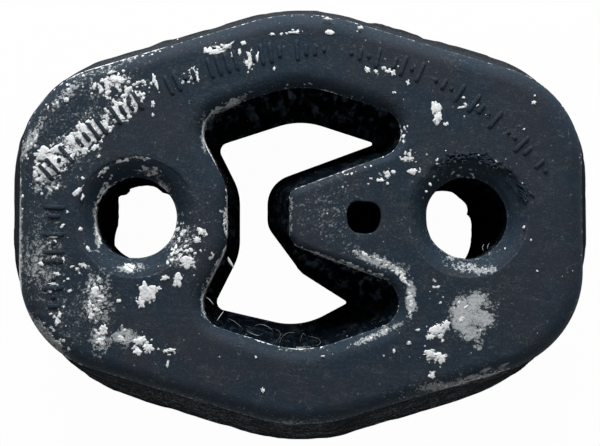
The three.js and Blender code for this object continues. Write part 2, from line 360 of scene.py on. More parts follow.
@dataclass
class Outline:
    """Walls and the corners that follow them, carried from the back face to the front face."""

    walls: list[Wall]
    corners: list[Corner]
    side: Side
    half: float
    least_radius: float = 0.05

    def half_surface(self) -> Surface:
        """The rings of one half, from the parting plane up to the face.

        At each step every wall is a line, moved inward by its inset and turned by its height. Two
        neighbouring lines are joined by an arc that touches both. Its radius shrinks by the inset where
        the corner bulges out, grows where it bulges in, or runs evenly to its face radius.

        Returns:
            The half as a surface whose Z is the height above the parting plane.
        """
        steps = [wall.section.steps() for wall in self.walls]
        inset = self.side.value * np.stack([s[0] for s in steps], axis=1)
        height = np.stack([s[1] for s in steps], axis=1)
        first = np.array([wall.heading for wall in self.walls])
        last = np.array([w.heading if w.face_heading is None else w.face_heading for w in self.walls])
        heading = first + (last - first) * height / self.half
        along = np.stack([np.cos(heading), np.sin(heading)], axis=-1)
        inward = np.stack([-along[..., 1], along[..., 0]], axis=-1)
        origin = np.array([[wall.x, wall.y] for wall in self.walls]) + inward * inset[..., None]
        rings, levels = [], []
        joints = [self._corner(i, origin, along, inset, height) for i in range(len(self.walls))]
        for i, (corner, (arc, arc_level)) in enumerate(zip(self.corners, joints)):
            following, following_level = joints[(i + 1) % len(joints)]
            share = (np.arange(corner.wall_points) + 1) / (corner.wall_points + 1)
            start, end = arc[:, -1], following[:, 0]
            straight = start[:, None] + (end - start)[:, None] * share[None, :, None]
            low, high = arc_level[:, -1:], following_level[:, :1]
            rings += [arc, straight]
            levels += [arc_level, low + (high - low) * share]
        level = np.concatenate(levels, axis=1)
        return Surface(np.concatenate([np.concatenate(rings, axis=1), level[..., None]], axis=-1), level)

    def _corner(
        self, i: int, origin: np.ndarray, along: np.ndarray, inset: np.ndarray, height: np.ndarray
    ) -> tuple[np.ndarray, np.ndarray]:
        """The arc after wall i at every step.

        Args:
            i: the wall before the corner.
            origin: a point on each wall at each step.
            along: each wall's direction at each step.
            inset: each wall's inset at each step.
            height: each wall's height at each step.

        Returns:
            Arc points for each step, and their heights.
        """
        j = (i + 1) % len(self.walls)
        corner = self.corners[i]

        def cross(a: np.ndarray, b: np.ndarray) -> np.ndarray:
            """The Z part of the product of two plane vectors."""
            return a[..., 0] * b[..., 1] - a[..., 1] * b[..., 0]

        spin = cross(along[:, i], along[:, j])
        reach = cross(origin[:, j] - origin[:, i], along[:, j]) / spin
        meeting = origin[:, i] + along[:, i] * reach[:, None]
        turn = np.arctan2(spin, np.sum(along[:, i] * along[:, j], axis=-1))
        bulge = np.sign(turn)
        radius = corner.radius - bulge * (inset[:, i] + inset[:, j]) / 2
        if corner.face_radius is not None:
            radius = corner.radius + (corner.face_radius - corner.radius) * height[:, i] / self.half
        radius = np.maximum(radius, self.least_radius)
        start = meeting - along[:, i] * (radius * np.tan(np.abs(turn) / 2))[:, None]
        inward = np.stack([-along[:, i, 1], along[:, i, 0]], axis=-1)
        centre = start + inward * (bulge * radius)[:, None]
        t = np.linspace(0, 1, corner.arc_points)
        angle = turn[:, None] * t
        spoke = (start - centre)[:, None]
        arc = turned(spoke[..., 0], spoke[..., 1], angle)
        level = height[:, i : i + 1] + (height[:, j] - height[:, i])[:, None] * t
        return arc + centre[:, None], level

    def surface(self) -> Surface:
        """Both halves as one strip of rings, from the back face to the front face.

        The back half is the front one mirrored, with every other step of its wall left out.

        Returns:
            The whole wall. Its Z is the height above the parting plane, negative on the back half.
        """
        half = self.half_surface()
        section = self.walls[0].section
        crease, flash_steps = section.crease_step(), len(section.flash_rise)
        back = np.arange(len(half.points))[::-1]
        back = back[(back > 0) & ((back % 2 == 0) | (back >= crease - 1) | (back < flash_steps))]
        index = np.concatenate([back, np.arange(len(half.points))])
        sign = np.where(np.arange(len(index)) < len(back), -1.0, 1.0)
        points = half.points[index]
        points[..., 2] *= sign[:, None]
        return Surface(points, half.level[index] * sign[:, None], index - crease)


def outward(points: np.ndarray) -> np.ndarray:
    """The right-hand normal in plan of each point of a surface's rings, from its two neighbours."""
    run = np.roll(points, -1, axis=1) - np.roll(points, 1, axis=1)
    normal = np.stack([run[..., 1], -run[..., 0], np.zeros(run.shape[:2])], axis=-1)
    return normal / np.maximum(np.linalg.norm(normal, axis=-1, keepdims=True), 1e-9)


@dataclass
class MeshParts:
    """Vertices and faces gathered piece by piece, then made into one mesh."""

    blocks: list[np.ndarray] = field(default_factory=list)
    creases: list[np.ndarray] = field(default_factory=list)
    bands: list[np.ndarray] = field(default_factory=list)
    faces: list[np.ndarray] = field(default_factory=list)
    skins: list[np.ndarray] = field(default_factory=list)
    count: int = 0

    def add(self, points: np.ndarray, crease: Amount = 0.0, bands: Amount = 1.0) -> np.ndarray:
        """Adds points and gives their indices, in the points' own layout.

        Args:
            points: positions in millimetres.
            crease: how much of a rubbed edge each of them is.
            bands: how strong the drawn-out streaks are there, which are partly painted fill light and sheen.

        Returns:
            An index for each point.
        """
        flat = points.reshape(-1, 3)
        index = np.arange(self.count, self.count + len(flat))
        self.blocks.append(flat.copy())
        self.creases.append(np.broadcast_to(crease, points.shape[:-1]).reshape(-1))
        self.bands.append(np.broadcast_to(bands, points.shape[:-1]).reshape(-1))
        self.count += len(flat)
        return index.reshape(points.shape[:-1])

    def strip(self, index: np.ndarray, skin: Skin | np.ndarray = Skin.FACE, inside_out: bool = False) -> None:
        """Joins neighbouring rings of indices by quads, with the last place joined to the first.

        Args:
            index: one row for each ring, also of many pieces at once.
            skin: the skin of the whole strip, or a material place for each gap between rings.
            inside_out: turns the faces over.
        """
        a, d = index[..., :-1, :], index[..., 1:, :]
        b, c = np.roll(a, -1, axis=-1), np.roll(d, -1, axis=-1)
        quads = np.stack([d, c, b, a] if inside_out else [a, b, c, d], axis=-1)
        places = np.full(a.shape[-2], skin.value) if isinstance(skin, Skin) else skin
        self._keep(quads.reshape(-1, 4), np.broadcast_to(places[:, None], a.shape).ravel())

    def fan(
        self, ring: np.ndarray, middle: np.ndarray, skin: Skin = Skin.FACE, inside_out: bool = False
    ) -> None:
        """Closes a ring onto one middle vertex, or many rings onto one each."""
        following = np.roll(ring, -1, axis=-1)
        hub = np.broadcast_to(middle[..., None], ring.shape)
        order = [following, ring, hub] if inside_out else [ring, following, hub]
        self._keep(np.stack(order, axis=-1).reshape(-1, 3), np.full(ring.size, skin.value))

    def sheet(self, triangles: np.ndarray) -> None:
        """Adds triangles of a face."""
        self._keep(triangles, np.full(len(triangles), Skin.FACE.value))

    def _keep(self, faces: np.ndarray, skins: np.ndarray) -> None:
        """Stores faces and the material place of each."""
        self.faces.append(faces)
        self.skins.append(skins)

    def points(self) -> np.ndarray:
        """All vertices so far."""
        return np.concatenate(self.blocks)

    def build(self, name: str, finishes: tuple["Finish", ...], **attributes: Amount) -> bpy.types.Object:
        """Makes the object, in metres and with smooth shading.

        Args:
            name: the object's name.
            finishes: its finishes in the order of their places.
            attributes: one number for each vertex, or one for all, by name.

        Returns:
            The object.
        """
        mesh = bpy.data.meshes.new(name)
        points = self.points()
        loops = np.concatenate([f.ravel() for f in self.faces])
        sizes = np.concatenate([np.full(len(f), f.shape[1]) for f in self.faces])
        mesh.vertices.add(len(points))
        mesh.vertices.foreach_set("co", (points * MM).astype(np.float32).ravel())
        mesh.loops.add(len(loops))
        mesh.loops.foreach_set("vertex_index", loops.astype(np.int32))
        mesh.polygons.add(len(sizes))
        mesh.polygons.foreach_set("loop_start", (np.cumsum(sizes) - sizes).astype(np.int32))
        mesh.polygons.foreach_set("use_smooth", np.ones(len(sizes), bool))
        mesh.polygons.foreach_set("material_index", np.concatenate(self.skins).astype(np.int32))
        for key, values in attributes.items():
            layer = mesh.attributes.new(key, "FLOAT", "POINT")
            layer.data.foreach_set("value", np.broadcast_to(values, len(points)).astype(np.float32))
        for finish in finishes:
            mesh.materials.append(finish.material())
        mesh.update(calc_edges=True)
        mesh.validate()
        obj = bpy.data.objects.new(name, mesh)
        bpy.context.scene.collection.objects.link(obj)
        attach(obj, BODY)
        return obj


def inside(points: np.ndarray, ring: np.ndarray) -> np.ndarray:
    """Whether each plane point lies in a closed ring, by counting the ring's sides to its right.

    Args:
        points: plane positions, one row each.
        ring: the ring's corners in order.

    Returns:
        One truth value for each point.
    """
    ax, ay = ring[:, 0], ring[:, 1]
    bx, by = np.roll(ax, -1), np.roll(ay, -1)
    rise = np.where(by == ay, 1e-12, by - ay)
    parts = []
    for block in np.array_split(points, max(1, len(points) // BLOCK_POINTS)):
        x, y = block[:, :1], block[:, 1:2]
        straddles = (ay > y) != (by > y)
        crossed = x < ax + (y - ay) * (bx - ax) / rise
        parts.append(np.sum(straddles & crossed, axis=1) % 2 == 1)
    return np.concatenate(parts)


def nearest(points: np.ndarray, targets: np.ndarray) -> np.ndarray:
    """Distance from each plane point to the nearest target.

    Args:
        points: plane positions, one row each.
        targets: the same, to measure to.

    Returns:
        One distance for each point.
    """
    parts = []
    for block in np.array_split(points, max(1, len(points) // BLOCK_POINTS)):
        gap = block[:, None, :2] - targets[None, :, :2]
        parts.append(np.sqrt(np.min(np.sum(gap * gap, axis=-1), axis=1)))
    return np.concatenate(parts)


def triangulate_face(
    parts: MeshParts, rings: list[np.ndarray], spacing: float, height: float, faces_up: bool
) -> None:
    """Fills a flat face between its outer ring and its holes with near-equal triangles.

    The inner points are a triangular lattice: rows spacing * sqrt(3) / 2 apart, with every other row
    shifted by half a spacing. Those too near a ring, outside the first ring or in a hole are left out.

    Args:
        parts: where the rings already are, and where the inner points and triangles go.
        rings: indices of the outer ring and then of each hole's ring.
        spacing: distance between neighbouring inner points.
        height: Z of the face.
        faces_up: whether the face looks along +Z.
    """
    clear, least_area = 0.6 * spacing, 1e-6
    known = parts.points()
    outer = known[rings[0]][:, :2]
    low, high = outer.min(axis=0), outer.max(axis=0)
    rows = np.arange(low[1], high[1], spacing * math.sqrt(3) / 2)
    columns = np.arange(low[0], high[0], spacing)
    x, y = np.meshgrid(columns, rows)
    x = x + (np.arange(len(rows)) % 2)[:, None] * spacing / 2
    grid = np.stack([x.ravel(), y.ravel()], axis=-1)

    def on_rubber(plan: np.ndarray) -> np.ndarray:
        """Whether each point is inside the outer ring and in no hole."""
        return inside(plan, outer) & ~np.any([inside(plan, known[r][:, :2]) for r in rings[1:]], axis=0)

    grid = grid[on_rubber(grid)]
    border = np.concatenate([known[ring][:, :2] for ring in rings])
    grid = grid[nearest(grid, border) > clear]
    inner = parts.add(np.concatenate([grid, np.full((len(grid), 1), height)], axis=1))
    local = np.concatenate([*rings, inner])
    flat = np.concatenate([border, grid])
    edges, start = [], 0
    for ring in rings:
        place = np.arange(start, start + len(ring))
        edges.append(np.stack([place, np.roll(place, -1)], axis=-1))
        start += len(ring)
    found = delaunay_2d_cdt(flat.tolist(), np.concatenate(edges).tolist(), [], 0, 1e-6)
    own = np.array([source[0] for source in found[3]])
    triangles = own[np.array(found[2])]
    triangles = triangles[on_rubber(flat[triangles].mean(axis=1))]
    a, b, c = (flat[triangles[:, i]] for i in range(3))
    area = (b[:, 0] - a[:, 0]) * (c[:, 1] - a[:, 1]) - (b[:, 1] - a[:, 1]) * (c[:, 0] - a[:, 0])
    triangles = np.where(((area > 0) == faces_up)[:, None], triangles, triangles[:, ::-1])
    parts.sheet(local[triangles[np.abs(area) > least_area]])


@dataclass(frozen=True)
class Patch:
    """A patch of chalk, grey film or wear, placed where the photograph shows it. Some wear patches are also
    painted light.

    It is an ellipse of half-length and half-width in pixels, turned counterclockwise by turn degrees.
    amount is how much of it is covered in its middle.
    """

    column: float
    row: float
    long: float
    wide: float
    turn: float = 0
    amount: float = 0.9
    edge: ClassVar[float] = 1.6
    farthest: ClassVar[float] = 30.0

    def cover(self, column: np.ndarray, row: np.ndarray) -> np.ndarray:
        """Coverage of each pixel place: amount * exp(-q^edge), where q is the elliptical distance squared.

        Args:
            column: pixel columns.
            row: pixel rows.

        Returns:
            One coverage for each place.
        """
        c, s = math.cos(math.radians(self.turn)), math.sin(math.radians(self.turn))
        dx, dy = column - self.column, self.row - row
        along, across = dx * c + dy * s, dy * c - dx * s
        q = (along / self.long) ** 2 + (across / self.wide) ** 2
        return self.amount * np.exp(-np.minimum(q, self.farthest) ** self.edge)


def each(kind: type, *rows: tuple[float, ...]) -> tuple:
    """One object of a kind for each row, which gives its fields in their order."""
    return tuple(kind(*row) for row in rows)


UPPER_LEFT_PATCHES = each(
    Patch,
    (50, 163, 22, 17, 35, 0.95), (43, 174, 12, 15, 0, 0.84), (54, 188, 16, 4, 30, 0.68),
    (42, 193, 9, 4, 20, 0.6), (84, 136, 36, 17, 35, 0.96), (122, 110, 26, 15, 35, 0.88),
    (112, 82, 28, 12, 20, 0.82), (134, 92, 26, 12, 30, 0.76), (190, 75, 16, 9, 20, 0.72),
    (110, 60, 52, 5, 27, 0.58), (62, 92, 34, 7, 45, 0.54), (33, 140, 26, 6, 62, 0.6),
    (150, 52, 30, 4, 14, 0.46),
)
UPPER_PATCHES = each(
    Patch,
    (216, 47, 18, 6, 12, 0.85), (214, 30, 60, 3, 14, 0.2), (300, 14, 56, 3, 0, 0.16),
    (374, 24, 34, 3, -16, 0.26), (249, 59, 8, 14, 8, 0.72), (290, 30, 18, 3, 6, 0.66),
    (385, 70, 14, 6, 10, 0.6),
)
RIGHT_PATCHES = each(
    Patch,
    (438, 112, 7, 14, 8, 0.8), (385, 176, 24, 6, 18, 0.66), (409, 158, 14, 10, 20, 0.72),
    (404, 135, 4, 24, -8, 0.55), (455, 170, 50, 26, 0, 0.42),
)
BOSS_BORE_PATCHES = each(
    Patch,
    (150, 171, 13, 7, -12, 0.8), (104, 190, 5, 18, -30, 0.72), (98, 226, 4, 22, 4, 0.8),
    (80, 229, 3, 6, 0, 0.7), (88, 247, 10, 3, -55, 0.72), (130, 267, 9, 6, 0, 0.8),
    (181, 240, 12, 26, 8, 0.66), (172, 258, 14, 7, 35, 0.66), (79, 192, 10, 4, 50, 0.72),
    (200, 234, 8, 9, 0, 0.72), (194, 255, 10, 8, 30, 0.6), (112, 186, 26, 2.5, 30, 0.55),
)
LOWER_LEFT_PATCHES = each(
    Patch,
    (147, 296, 10, 12, -20, 0.9), (187, 263, 12, 8, 25, 0.84), (178, 281, 7, 10, 0, 0.84),
    (97, 292, 10, 18, 0, 0.75), (94, 312, 9, 12, 0, 0.82), (101, 336, 8, 14, 0, 0.78),
    (142, 345, 13, 10, 0, 0.86), (122, 336, 10, 9, 0, 0.74), (167, 351, 14, 4, -15, 0.7),
    (58, 318, 8, 14, 0, 0.6), (54, 240, 10, 6, 0, 0.56), (54, 264, 14, 10, 0, 0.52), (57, 287, 12, 9, 0, 0.6),
    (80, 268, 12, 10, 0, 0.6), (60, 340, 30, 7, -48, 0.6), (210, 258, 12, 3, 48, 0.62),
)
LOWER_RIGHT_PATCHES = each(
    Patch,
    (461, 312, 12, 17, 10, 0.62), (482, 326, 16, 12, 0, 0.3), (438, 332, 13, 10, 20, 0.92),
    (435, 356, 15, 8, -8, 0.88), (432, 375, 5, 6, 0, 0.8), (437, 290, 10, 20, 0, 0.5),
    (472, 266, 24, 5, -8, 0.34), (472, 380, 42, 5, 14, 0.56), (434, 386, 12, 4, 8, 0.62),
)
RIM_PATCHES = each(
    Patch,
    (375, 259, 26, 4, -22, 0.68), (402, 277, 14, 5, -42, 0.8), (410, 303, 4, 18, 0, 0.85),
    (378, 333, 32, 3, 24, 0.56), (300, 349, 34, 3, 0, 0.3), (240, 332, 40, 3, -24, 0.42),
    (232, 102, 13, 4.5, 27, 0.92), (215, 111, 12, 4.5, 42, 0.92), (205, 130, 4, 17, 0, 0.86),
    (213, 156, 22, 2.8, -60, 0.8), (226, 196, 2.6, 14, 0, 0.5), (226, 222, 4, 18, 0, 0.76),
    (222, 212, 5, 2, -40, 0.8), (216, 268, 26, 3.6, 62, 0.78), (205, 300, 4, 16, 0, 0.86),
    (212, 316, 12, 3.6, -50, 0.78), (345, 263, 58, 3, -19.5, 0.7), (162, 186, 9, 2.6, -50, 0.78),
    (100, 175, 15, 2.8, 50, 0.76), (122, 161, 14, 2.8, 18, 0.74), (142, 158, 10, 2.6, -4, 0.64),
    (290, 84, 24, 3, 5, 0.5), (342, 92, 30, 3, -15, 0.45), (350, 172, 40, 3, 18, 0.5),
    (20, 262, 3, 90, 0, 0.66), (30, 322, 20, 3, -60, 0.66),
)
PATCHES = UPPER_LEFT_PATCHES + UPPER_PATCHES + RIGHT_PATCHES + BOSS_BORE_PATCHES
PATCHES += LOWER_LEFT_PATCHES + LOWER_RIGHT_PATCHES + RIM_PATCHES

FILMS = each(
    Patch,
    (463, 315, 14, 21, 0, 1), (474, 302, 15, 10, 30, 0.9), (481, 319, 15, 11, 0, 0.85),
    (470, 333, 13, 9, 0, 0.85), (491, 305, 10, 6, 10, 0.6), (479, 346, 5, 6, 0, 0.5),
    (472, 268, 32, 6, -8, 0.58), (452, 258, 16, 6, -35, 0.44), (472, 379, 44, 5, 14, 0.5),
    (446, 385, 11, 2, 12, 0.95), (470, 377, 12, 1.9, 16, 0.95), (492, 374, 15, 1.8, 9, 0.9),
    (463, 384, 8, 1.6, 14, 0.85), (485, 370, 9, 1.6, 22, 0.85), (505, 364, 8, 1.6, 32, 0.8),
    (434, 386, 20, 5, 8, 0.7), (98, 300, 18, 36, 0, 0.55), (101, 338, 12, 18, 0, 0.6),
    (124, 336, 16, 10, 0, 0.7), (180, 245, 20, 34, 8, 0.36), (150, 172, 16, 5, -12, 0.5),
    (98, 226, 5, 30, 4, 0.75), (130, 268, 18, 6, 0, 0.6), (19, 265, 4.4, 95, 0, 0.78),
    (48, 335, 34, 6, -50, 0.7), (30, 140, 30, 6, 62, 0.7), (66, 92, 34, 7, 45, 0.46),
    (120, 60, 50, 6, 27, 0.34), (60, 160, 40, 26, 38, 0.36), (44, 184, 16, 14, 20, 0.5),
    (108, 104, 44, 24, 35, 0.24), (204, 130, 3.4, 20, 0, 0.8), (216, 160, 26, 2.6, -54, 0.6),
    (216, 268, 28, 2.8, 62, 0.7), (204, 302, 3.4, 18, 0, 0.8), (345, 264, 58, 2.2, -19.5, 0.5),
    (291, 216, 2.2, 26, 0, 0.45), (163, 186, 11, 3, -50, 0.7), (228, 106, 28, 4, 32, 0.6),
    (380, 262, 34, 7, -22, 0.7), (411, 300, 6, 22, 0, 0.9), (378, 334, 34, 4, 24, 0.6),
    (300, 349, 34, 4, 0, 0.34), (282, 425, 26, 4, 10, 0.55), (42, 262, 24, 34, 0, 0.42),
)

# Patches of grey wear. Those on the face beside the opening and on the upper arm also lift its tone
# where the lamp leaves it too dark: that part is painted light.
ABRASIONS = each(
    Patch,
    (40, 255, 22, 66, 0, 1), (62, 130, 50, 26, 40, 0.75), (70, 315, 34, 40, 30, 0.8),
    (110, 75, 60, 18, 27, 0.7), (480, 320, 60, 50, 0, 0.35), (440, 385, 80, 14, 14, 0.8),
    (200, 412, 120, 20, -16, 0.9), (300, 428, 70, 16, 0, 0.9), (420, 408, 100, 18, 17, 0.9),
    (470, 242, 44, 32, 0, 0.8), (455, 205, 75, 60, 0, 0.42), (160, 225, 66, 62, 0, 0.5),
    (335, 212, 46, 36, 0, 0.8), (405, 225, 30, 50, 0, 0.4), (250, 300, 70, 16, -20, 0.4),
)


def most(patches: tuple[Patch, ...], column: np.ndarray, row: np.ndarray) -> np.ndarray:
    """The largest coverage that any of the patches gives each pixel place."""
    return np.max([patch.cover(column, row) for patch in patches], axis=0)


# Angle in degrees and change of radius in millimetres at a bore's far end, where the photograph shows
# the background through it with a notched outline. Chosen one by one.
FarRim = tuple[Pair, ...]

LEFT_FAR_RIM: FarRim = (
    (57, 0.2), (75, 0.1), (81, 0.75), (91, 0.95), (106, 1.1), (119, 1.6), (123, 1.1), (130, 1.0), (137, 1.65),
    (148, 0.65), (162, 0.0), (176, -0.15), (188, 0.25), (216, 1.35), (226, 1.4), (240, 0.3), (300, 0.0),
)
RIGHT_FAR_RIM: FarRim = (
    (-59, 0.1), (-42, -0.65), (-25, -1.25), (-4, -1.57), (22, -1.4), (34, -1.6), (38, -1.15), (49, -0.7),
    (67, -0.4), (80, 0.1), (105, 0.3), (140, 0.0), (240, 0.0),
)


@dataclass
class Moulding:
    """The rubber itself, with the sizes of the solid that it stands for."""

    viewpoint: Viewpoint
    thickness: float = 30
    bore_spacing: float = 43.5
    lug_reach: float = 18.15
    upper_corner: float = 17.4
    lower_corner: float = 24
    face_corner: float = 12.5
    arm_width: float = 15.7
    arm_slope: float = math.radians(16.7)
    arm_crown: float = 26
    opening_rise: float = 14.2
    opening_slope: float = math.radians(18)
    opening_crown: float = 10
    lower_boss_side_slope: float = math.radians(13)
    lower_nose_side_slope: float = math.radians(28)
    nose_pocket: float = 0.35
    boss_pocket: float = 1.3
    boss_reach: float = 13.2
    boss_flat: float = 8.6
    boss_slope: float = math.radians(26.6)
    boss_bend: float = 8
    stop_gap: float = 4
    nose_tip_width: float = 11
    nose_slope: float = math.radians(20.3)
    nose_tip_radius: float = 4.2
    nose_lower_slope: float = math.radians(32.4)
    nose_swell_start: float = 6
    nose_bevel_start: float = 0.5
    nose_bevel_slope: float = math.radians(53.6)
    nose_bevel_radius: float = 3
    side_lean: float = 3.3
    boss_lean: float = 1.4
    nose_lean: float = 3.1
    nose_bevel_lean: float = 1.25
    face_rounding: float = 2.5
    nose_rounding: float = 1.2
    opening_flash: float = 0.08
    bore_diameter: float = 10.6
    countersink_diameter: float = 15.2
    countersink_depth: float = 2
    core_hole_diameter: float = 4.4
    core_hole_depth: float = 19
    core_hole_setback: float = 13.65
    half_length: float = 40.09
    half_width: float = 30.09
    mark_height: float = 0.28
    clear_of_wall: float = 0.05
    least_bands: float = 0.12
    face_spacing: float = 0.36
    back_spacing: float = 0.8
    broad_sag: float = 0.09
    fine_sag: float = 0.03
    flash_wander: float = 0.14
    tongue_reach: float = 0.32
    tongue_columns: tuple[float, ...] = (335, 380, 500, 560)  # where the torn flash sets in and ends
    tongue_rows: Pair = (120, 180)
    nick_column: float = 163  # a single lump of flash on the upper arm
    nick_width: float = 9
    nick_rows: Pair = (45, 60)
    nick_reach: float = 0.3
    nose_side: Pair = (-7.5, -3.0)  # X over which the flutes grow to full depth
    boss_flutes: float = 0.25
    rim_steps: tuple[Pair, ...] = ((0.42, 0.0), (0.3, 0.02), (0.2, 0.13))  # past the dish's edge, and depth
    lip_radius: float = 0.22
    lip_depth: float = 0.5
    bore_wobble: float = 0.26
    torn_angle: float = math.radians(62)
    torn_reach: float = 1.3
    torn_depth: float = 0.9
    rim_wear: float = 0.48
    rim_wear_beside: float = 0.2
    core_edge: float = 0.3
    half: float = field(init=False)
    bore_x: float = field(init=False)
    boss_x: float = field(init=False)
    nose_tip_x: float = field(init=False)
    core_x: float = field(init=False)
    front: float = field(init=False)
    opening_wall: np.ndarray = field(init=False)

    def __post_init__(self) -> None:
        """Works out the places that several methods use."""
        self.half = self.thickness / 2
        self.bore_x = self.bore_spacing / 2
        self.boss_x = self.boss_reach - self.bore_x
        self.nose_tip_x = self.boss_x + self.stop_gap
        self.core_x = self.bore_x - self.core_hole_setback
        self.front = self.thickness - self.mark_height

    def block(self) -> Outline:
        """The block's own outline: two straight ends and four sloping arm walls.

        Returns:
            The outline.
        """
        section = Section(self.side_lean, self.face_rounding, self.half)
        crown_y = self.opening_rise + self.arm_width
        peak_y = crown_y + self.arm_crown * (1 / math.cos(self.arm_slope) - 1)
        end_x = self.bore_x + self.lug_reach
        up = math.pi / 2
        upper = Corner(self.upper_corner, 40, 40, self.face_corner)
        upper_end = Corner(self.upper_corner, 40, 30, self.face_corner)
        lower = Corner(self.lower_corner, 40, 30, self.face_corner)
        lower_end = Corner(self.lower_corner, 40, 40, self.face_corner)
        crown = Corner(self.arm_crown, 24, 40)
        walls = [
            Wall(end_x, 0, up, section),
            Wall(0, peak_y, math.pi - self.arm_slope, section),
            Wall(0, peak_y, math.pi + self.arm_slope, section),
            Wall(-end_x, 0, -up, section),
            Wall(0, -peak_y, -self.arm_slope, section),
            Wall(0, -peak_y, self.arm_slope, section),
        ]
        return Outline(walls, [upper, crown, upper_end, lower_end, crown, lower], Side.RUBBER, self.half)

    def opening(self) -> Outline:
        """The opening: four arm walls, the boss with its flat, and the nose with the bevel under its tip.

        Returns:
            The outline.
        """
        rounding, flash = self.face_rounding, self.opening_flash
        side = Section(self.side_lean, rounding, self.half, flash_height=flash)
        boss = Section(self.boss_lean, rounding, self.half, flash_height=flash)
        nose = Section(self.nose_lean, self.nose_rounding, self.half, flash_height=flash)
        bevel = Section(self.nose_bevel_lean, self.nose_rounding, self.half, flash_height=flash)
        peak_y = self.opening_rise + self.opening_crown * (1 / math.cos(self.opening_slope) - 1)
        bend_y, tip_y = self.boss_flat / 2, self.nose_tip_width / 2
        swell_x = self.nose_tip_x + self.nose_swell_start
        swell_y = tip_y + self.nose_swell_start * math.tan(self.nose_slope)
        down = -math.pi / 2
        walls = [
            Wall(0, peak_y, math.pi - self.opening_slope, side),
            Wall(0, peak_y, math.pi + self.opening_slope, side),
            Wall(self.boss_x, bend_y, down + self.boss_slope, boss),
            Wall(self.boss_x, 0, down, boss),
            Wall(self.boss_x, -bend_y, down - self.boss_slope, boss),
            Wall(0, -peak_y, -self.lower_boss_side_slope, side, -self.opening_slope),
            Wall(0, -peak_y, self.lower_nose_side_slope, side, self.opening_slope),
            Wall(swell_x, -swell_y, math.pi - self.nose_lower_slope, nose, math.pi - self.nose_slope),
            Wall(self.nose_tip_x, -self.nose_bevel_start, math.pi - self.nose_bevel_slope, bevel),
            Wall(self.nose_tip_x, 0, math.pi / 2, nose),
            Wall(self.nose_tip_x, tip_y, self.nose_slope, nose),
        ]
        corners = [
            Corner(self.opening_crown, 16, 34),
            Corner(self.boss_pocket, 16, 14),
            Corner(self.boss_bend, 10, 14),
            Corner(self.boss_bend, 10, 14),
            Corner(self.boss_pocket, 16, 34),
            Corner(self.opening_crown, 16, 34),
            Corner(self.nose_pocket, 22, 34),
            Corner(self.nose_bevel_radius, 8, 12),
            Corner(self.nose_bevel_radius, 8, 8),
            Corner(self.nose_tip_radius, 14, 36),
            Corner(self.nose_pocket, 22, 34),
        ]
        return Outline(walls, corners, Side.OPENING, self.half)

    def stand(self, surface: Surface) -> np.ndarray:
        """Puts a surface's rings in place: its height above the parting plane becomes Z.

        The front half is drawn in a little, so that the raised marks end where the solid's face is.

        Args:
            surface: rings about the parting plane.

        Returns:
            The rings' points.
        """
        points = surface.points.copy()
        rise = np.where(points[..., 2] > 0, (self.front - self.half) / self.half, 1.0)
        points[..., 2] = self.half + points[..., 2] * rise
        return points

    def sag(self, points: np.ndarray) -> np.ndarray:
        """How far the front face lies below its plane: a broad and a fine fractal of the place in plan."""
        plan = points * IN_PLAN
        broad, fine = fractal(plan, 11.0, Seed.SAG, 3), fractal(plan, 2.4, Seed.FINE_SAG, 2)
        return broad * self.broad_sag + fine * self.fine_sag

    def ragged_flash(self, surface: Surface) -> None:
        """Makes the flash uneven: low along most of the outline, in longer torn tongues at the upper right.

        The flash's own rows move in or out along the wall's normal by a fractal amount.

        Args:
            surface: the block's wall, changed in place.
        """
        points = surface.points
        near = bell(surface.level, 0.3)
        grain = fractal(points * IN_PLAN, 4.0, Seed.FLASH_GRAIN)
        tongue = fractal(points * IN_PLAN, 7.0, Seed.FLASH_TONGUES, 3)
        column, row = self.viewpoint.pixel_of(points + np.array([0, 0, self.half]))
        torn = ease(column, *self.tongue_columns[:2]) * fade(column, *self.tongue_columns[2:])
        torn = torn * fade(row, *self.tongue_rows) * self.tongue_reach
        nick = bell(column - self.nick_column, self.nick_width) * fade(row, *self.nick_rows)
        amount = 0.1 - self.flash_wander * ease(grain, 0.35, 0.65) + torn * ease(tongue, 0.47, 0.53)
        points += outward(points) * ((amount + self.nick_reach * nick) * near)[..., None]
        reach = np.array([self.half_length, self.half_width])
        points[..., :2] = np.clip(points[..., :2], -reach, reach)

    def flutes(self, surface: Surface) -> None:
        """Cuts shallow flutes that run along the thickness, on the nose's sides and in the pockets.

        Their depth is a fractal of the place in plan, so each flute runs straight from the flash towards
        the face, and a weaker one that also changes slowly with height. They fade out below the rounding.

        Args:
            surface: the opening's wall, changed in place.
        """
        points = surface.points
        plan = points[0] * IN_PLAN
        narrow, broad = value_noise(plan, 0.9, Seed.FLUTES), value_noise(plan, 2.1, Seed.BROAD_FLUTES)
        straight = narrow * 0.6 + broad * 0.4 - 0.5
        changing = value_noise(points * np.array([1.2, 1.2, 0.25]), 1.6, Seed.FLUTE_CHANGE) - 0.5
        level = np.abs(surface.level)
        within = ease(self.half - level, 1.6, 4.0) * ease(level, 0.3, 1.2)
        share = ease(points[..., 0], *self.nose_side) * (1 - self.boss_flutes) + self.boss_flutes
        points += outward(points) * ((0.6 * straight[None] + 0.4 * changing) * within * share)[..., None]

    def shaded(self, surface: Surface, hollow: bool) -> np.ndarray:
        """How strong a wall's streaks are: most where it looks down the picture, away from the lamp, from
        least_bands up to 1.

        Args:
            surface: the wall.
            hollow: whether the rubber lies outside the wall's outline.

        Returns:
            The share of each point.
        """
        # Painted light: the lighter streaks gather on walls turned away from the lamp, as fill light and
        # sheen
        # would, and stay faint where the walls face it.
        down = outward(surface.points)[..., 1] * (1 if hollow else -1)
        return self.least_bands + (1 - self.least_bands) * ease(down, -0.2, 0.7)

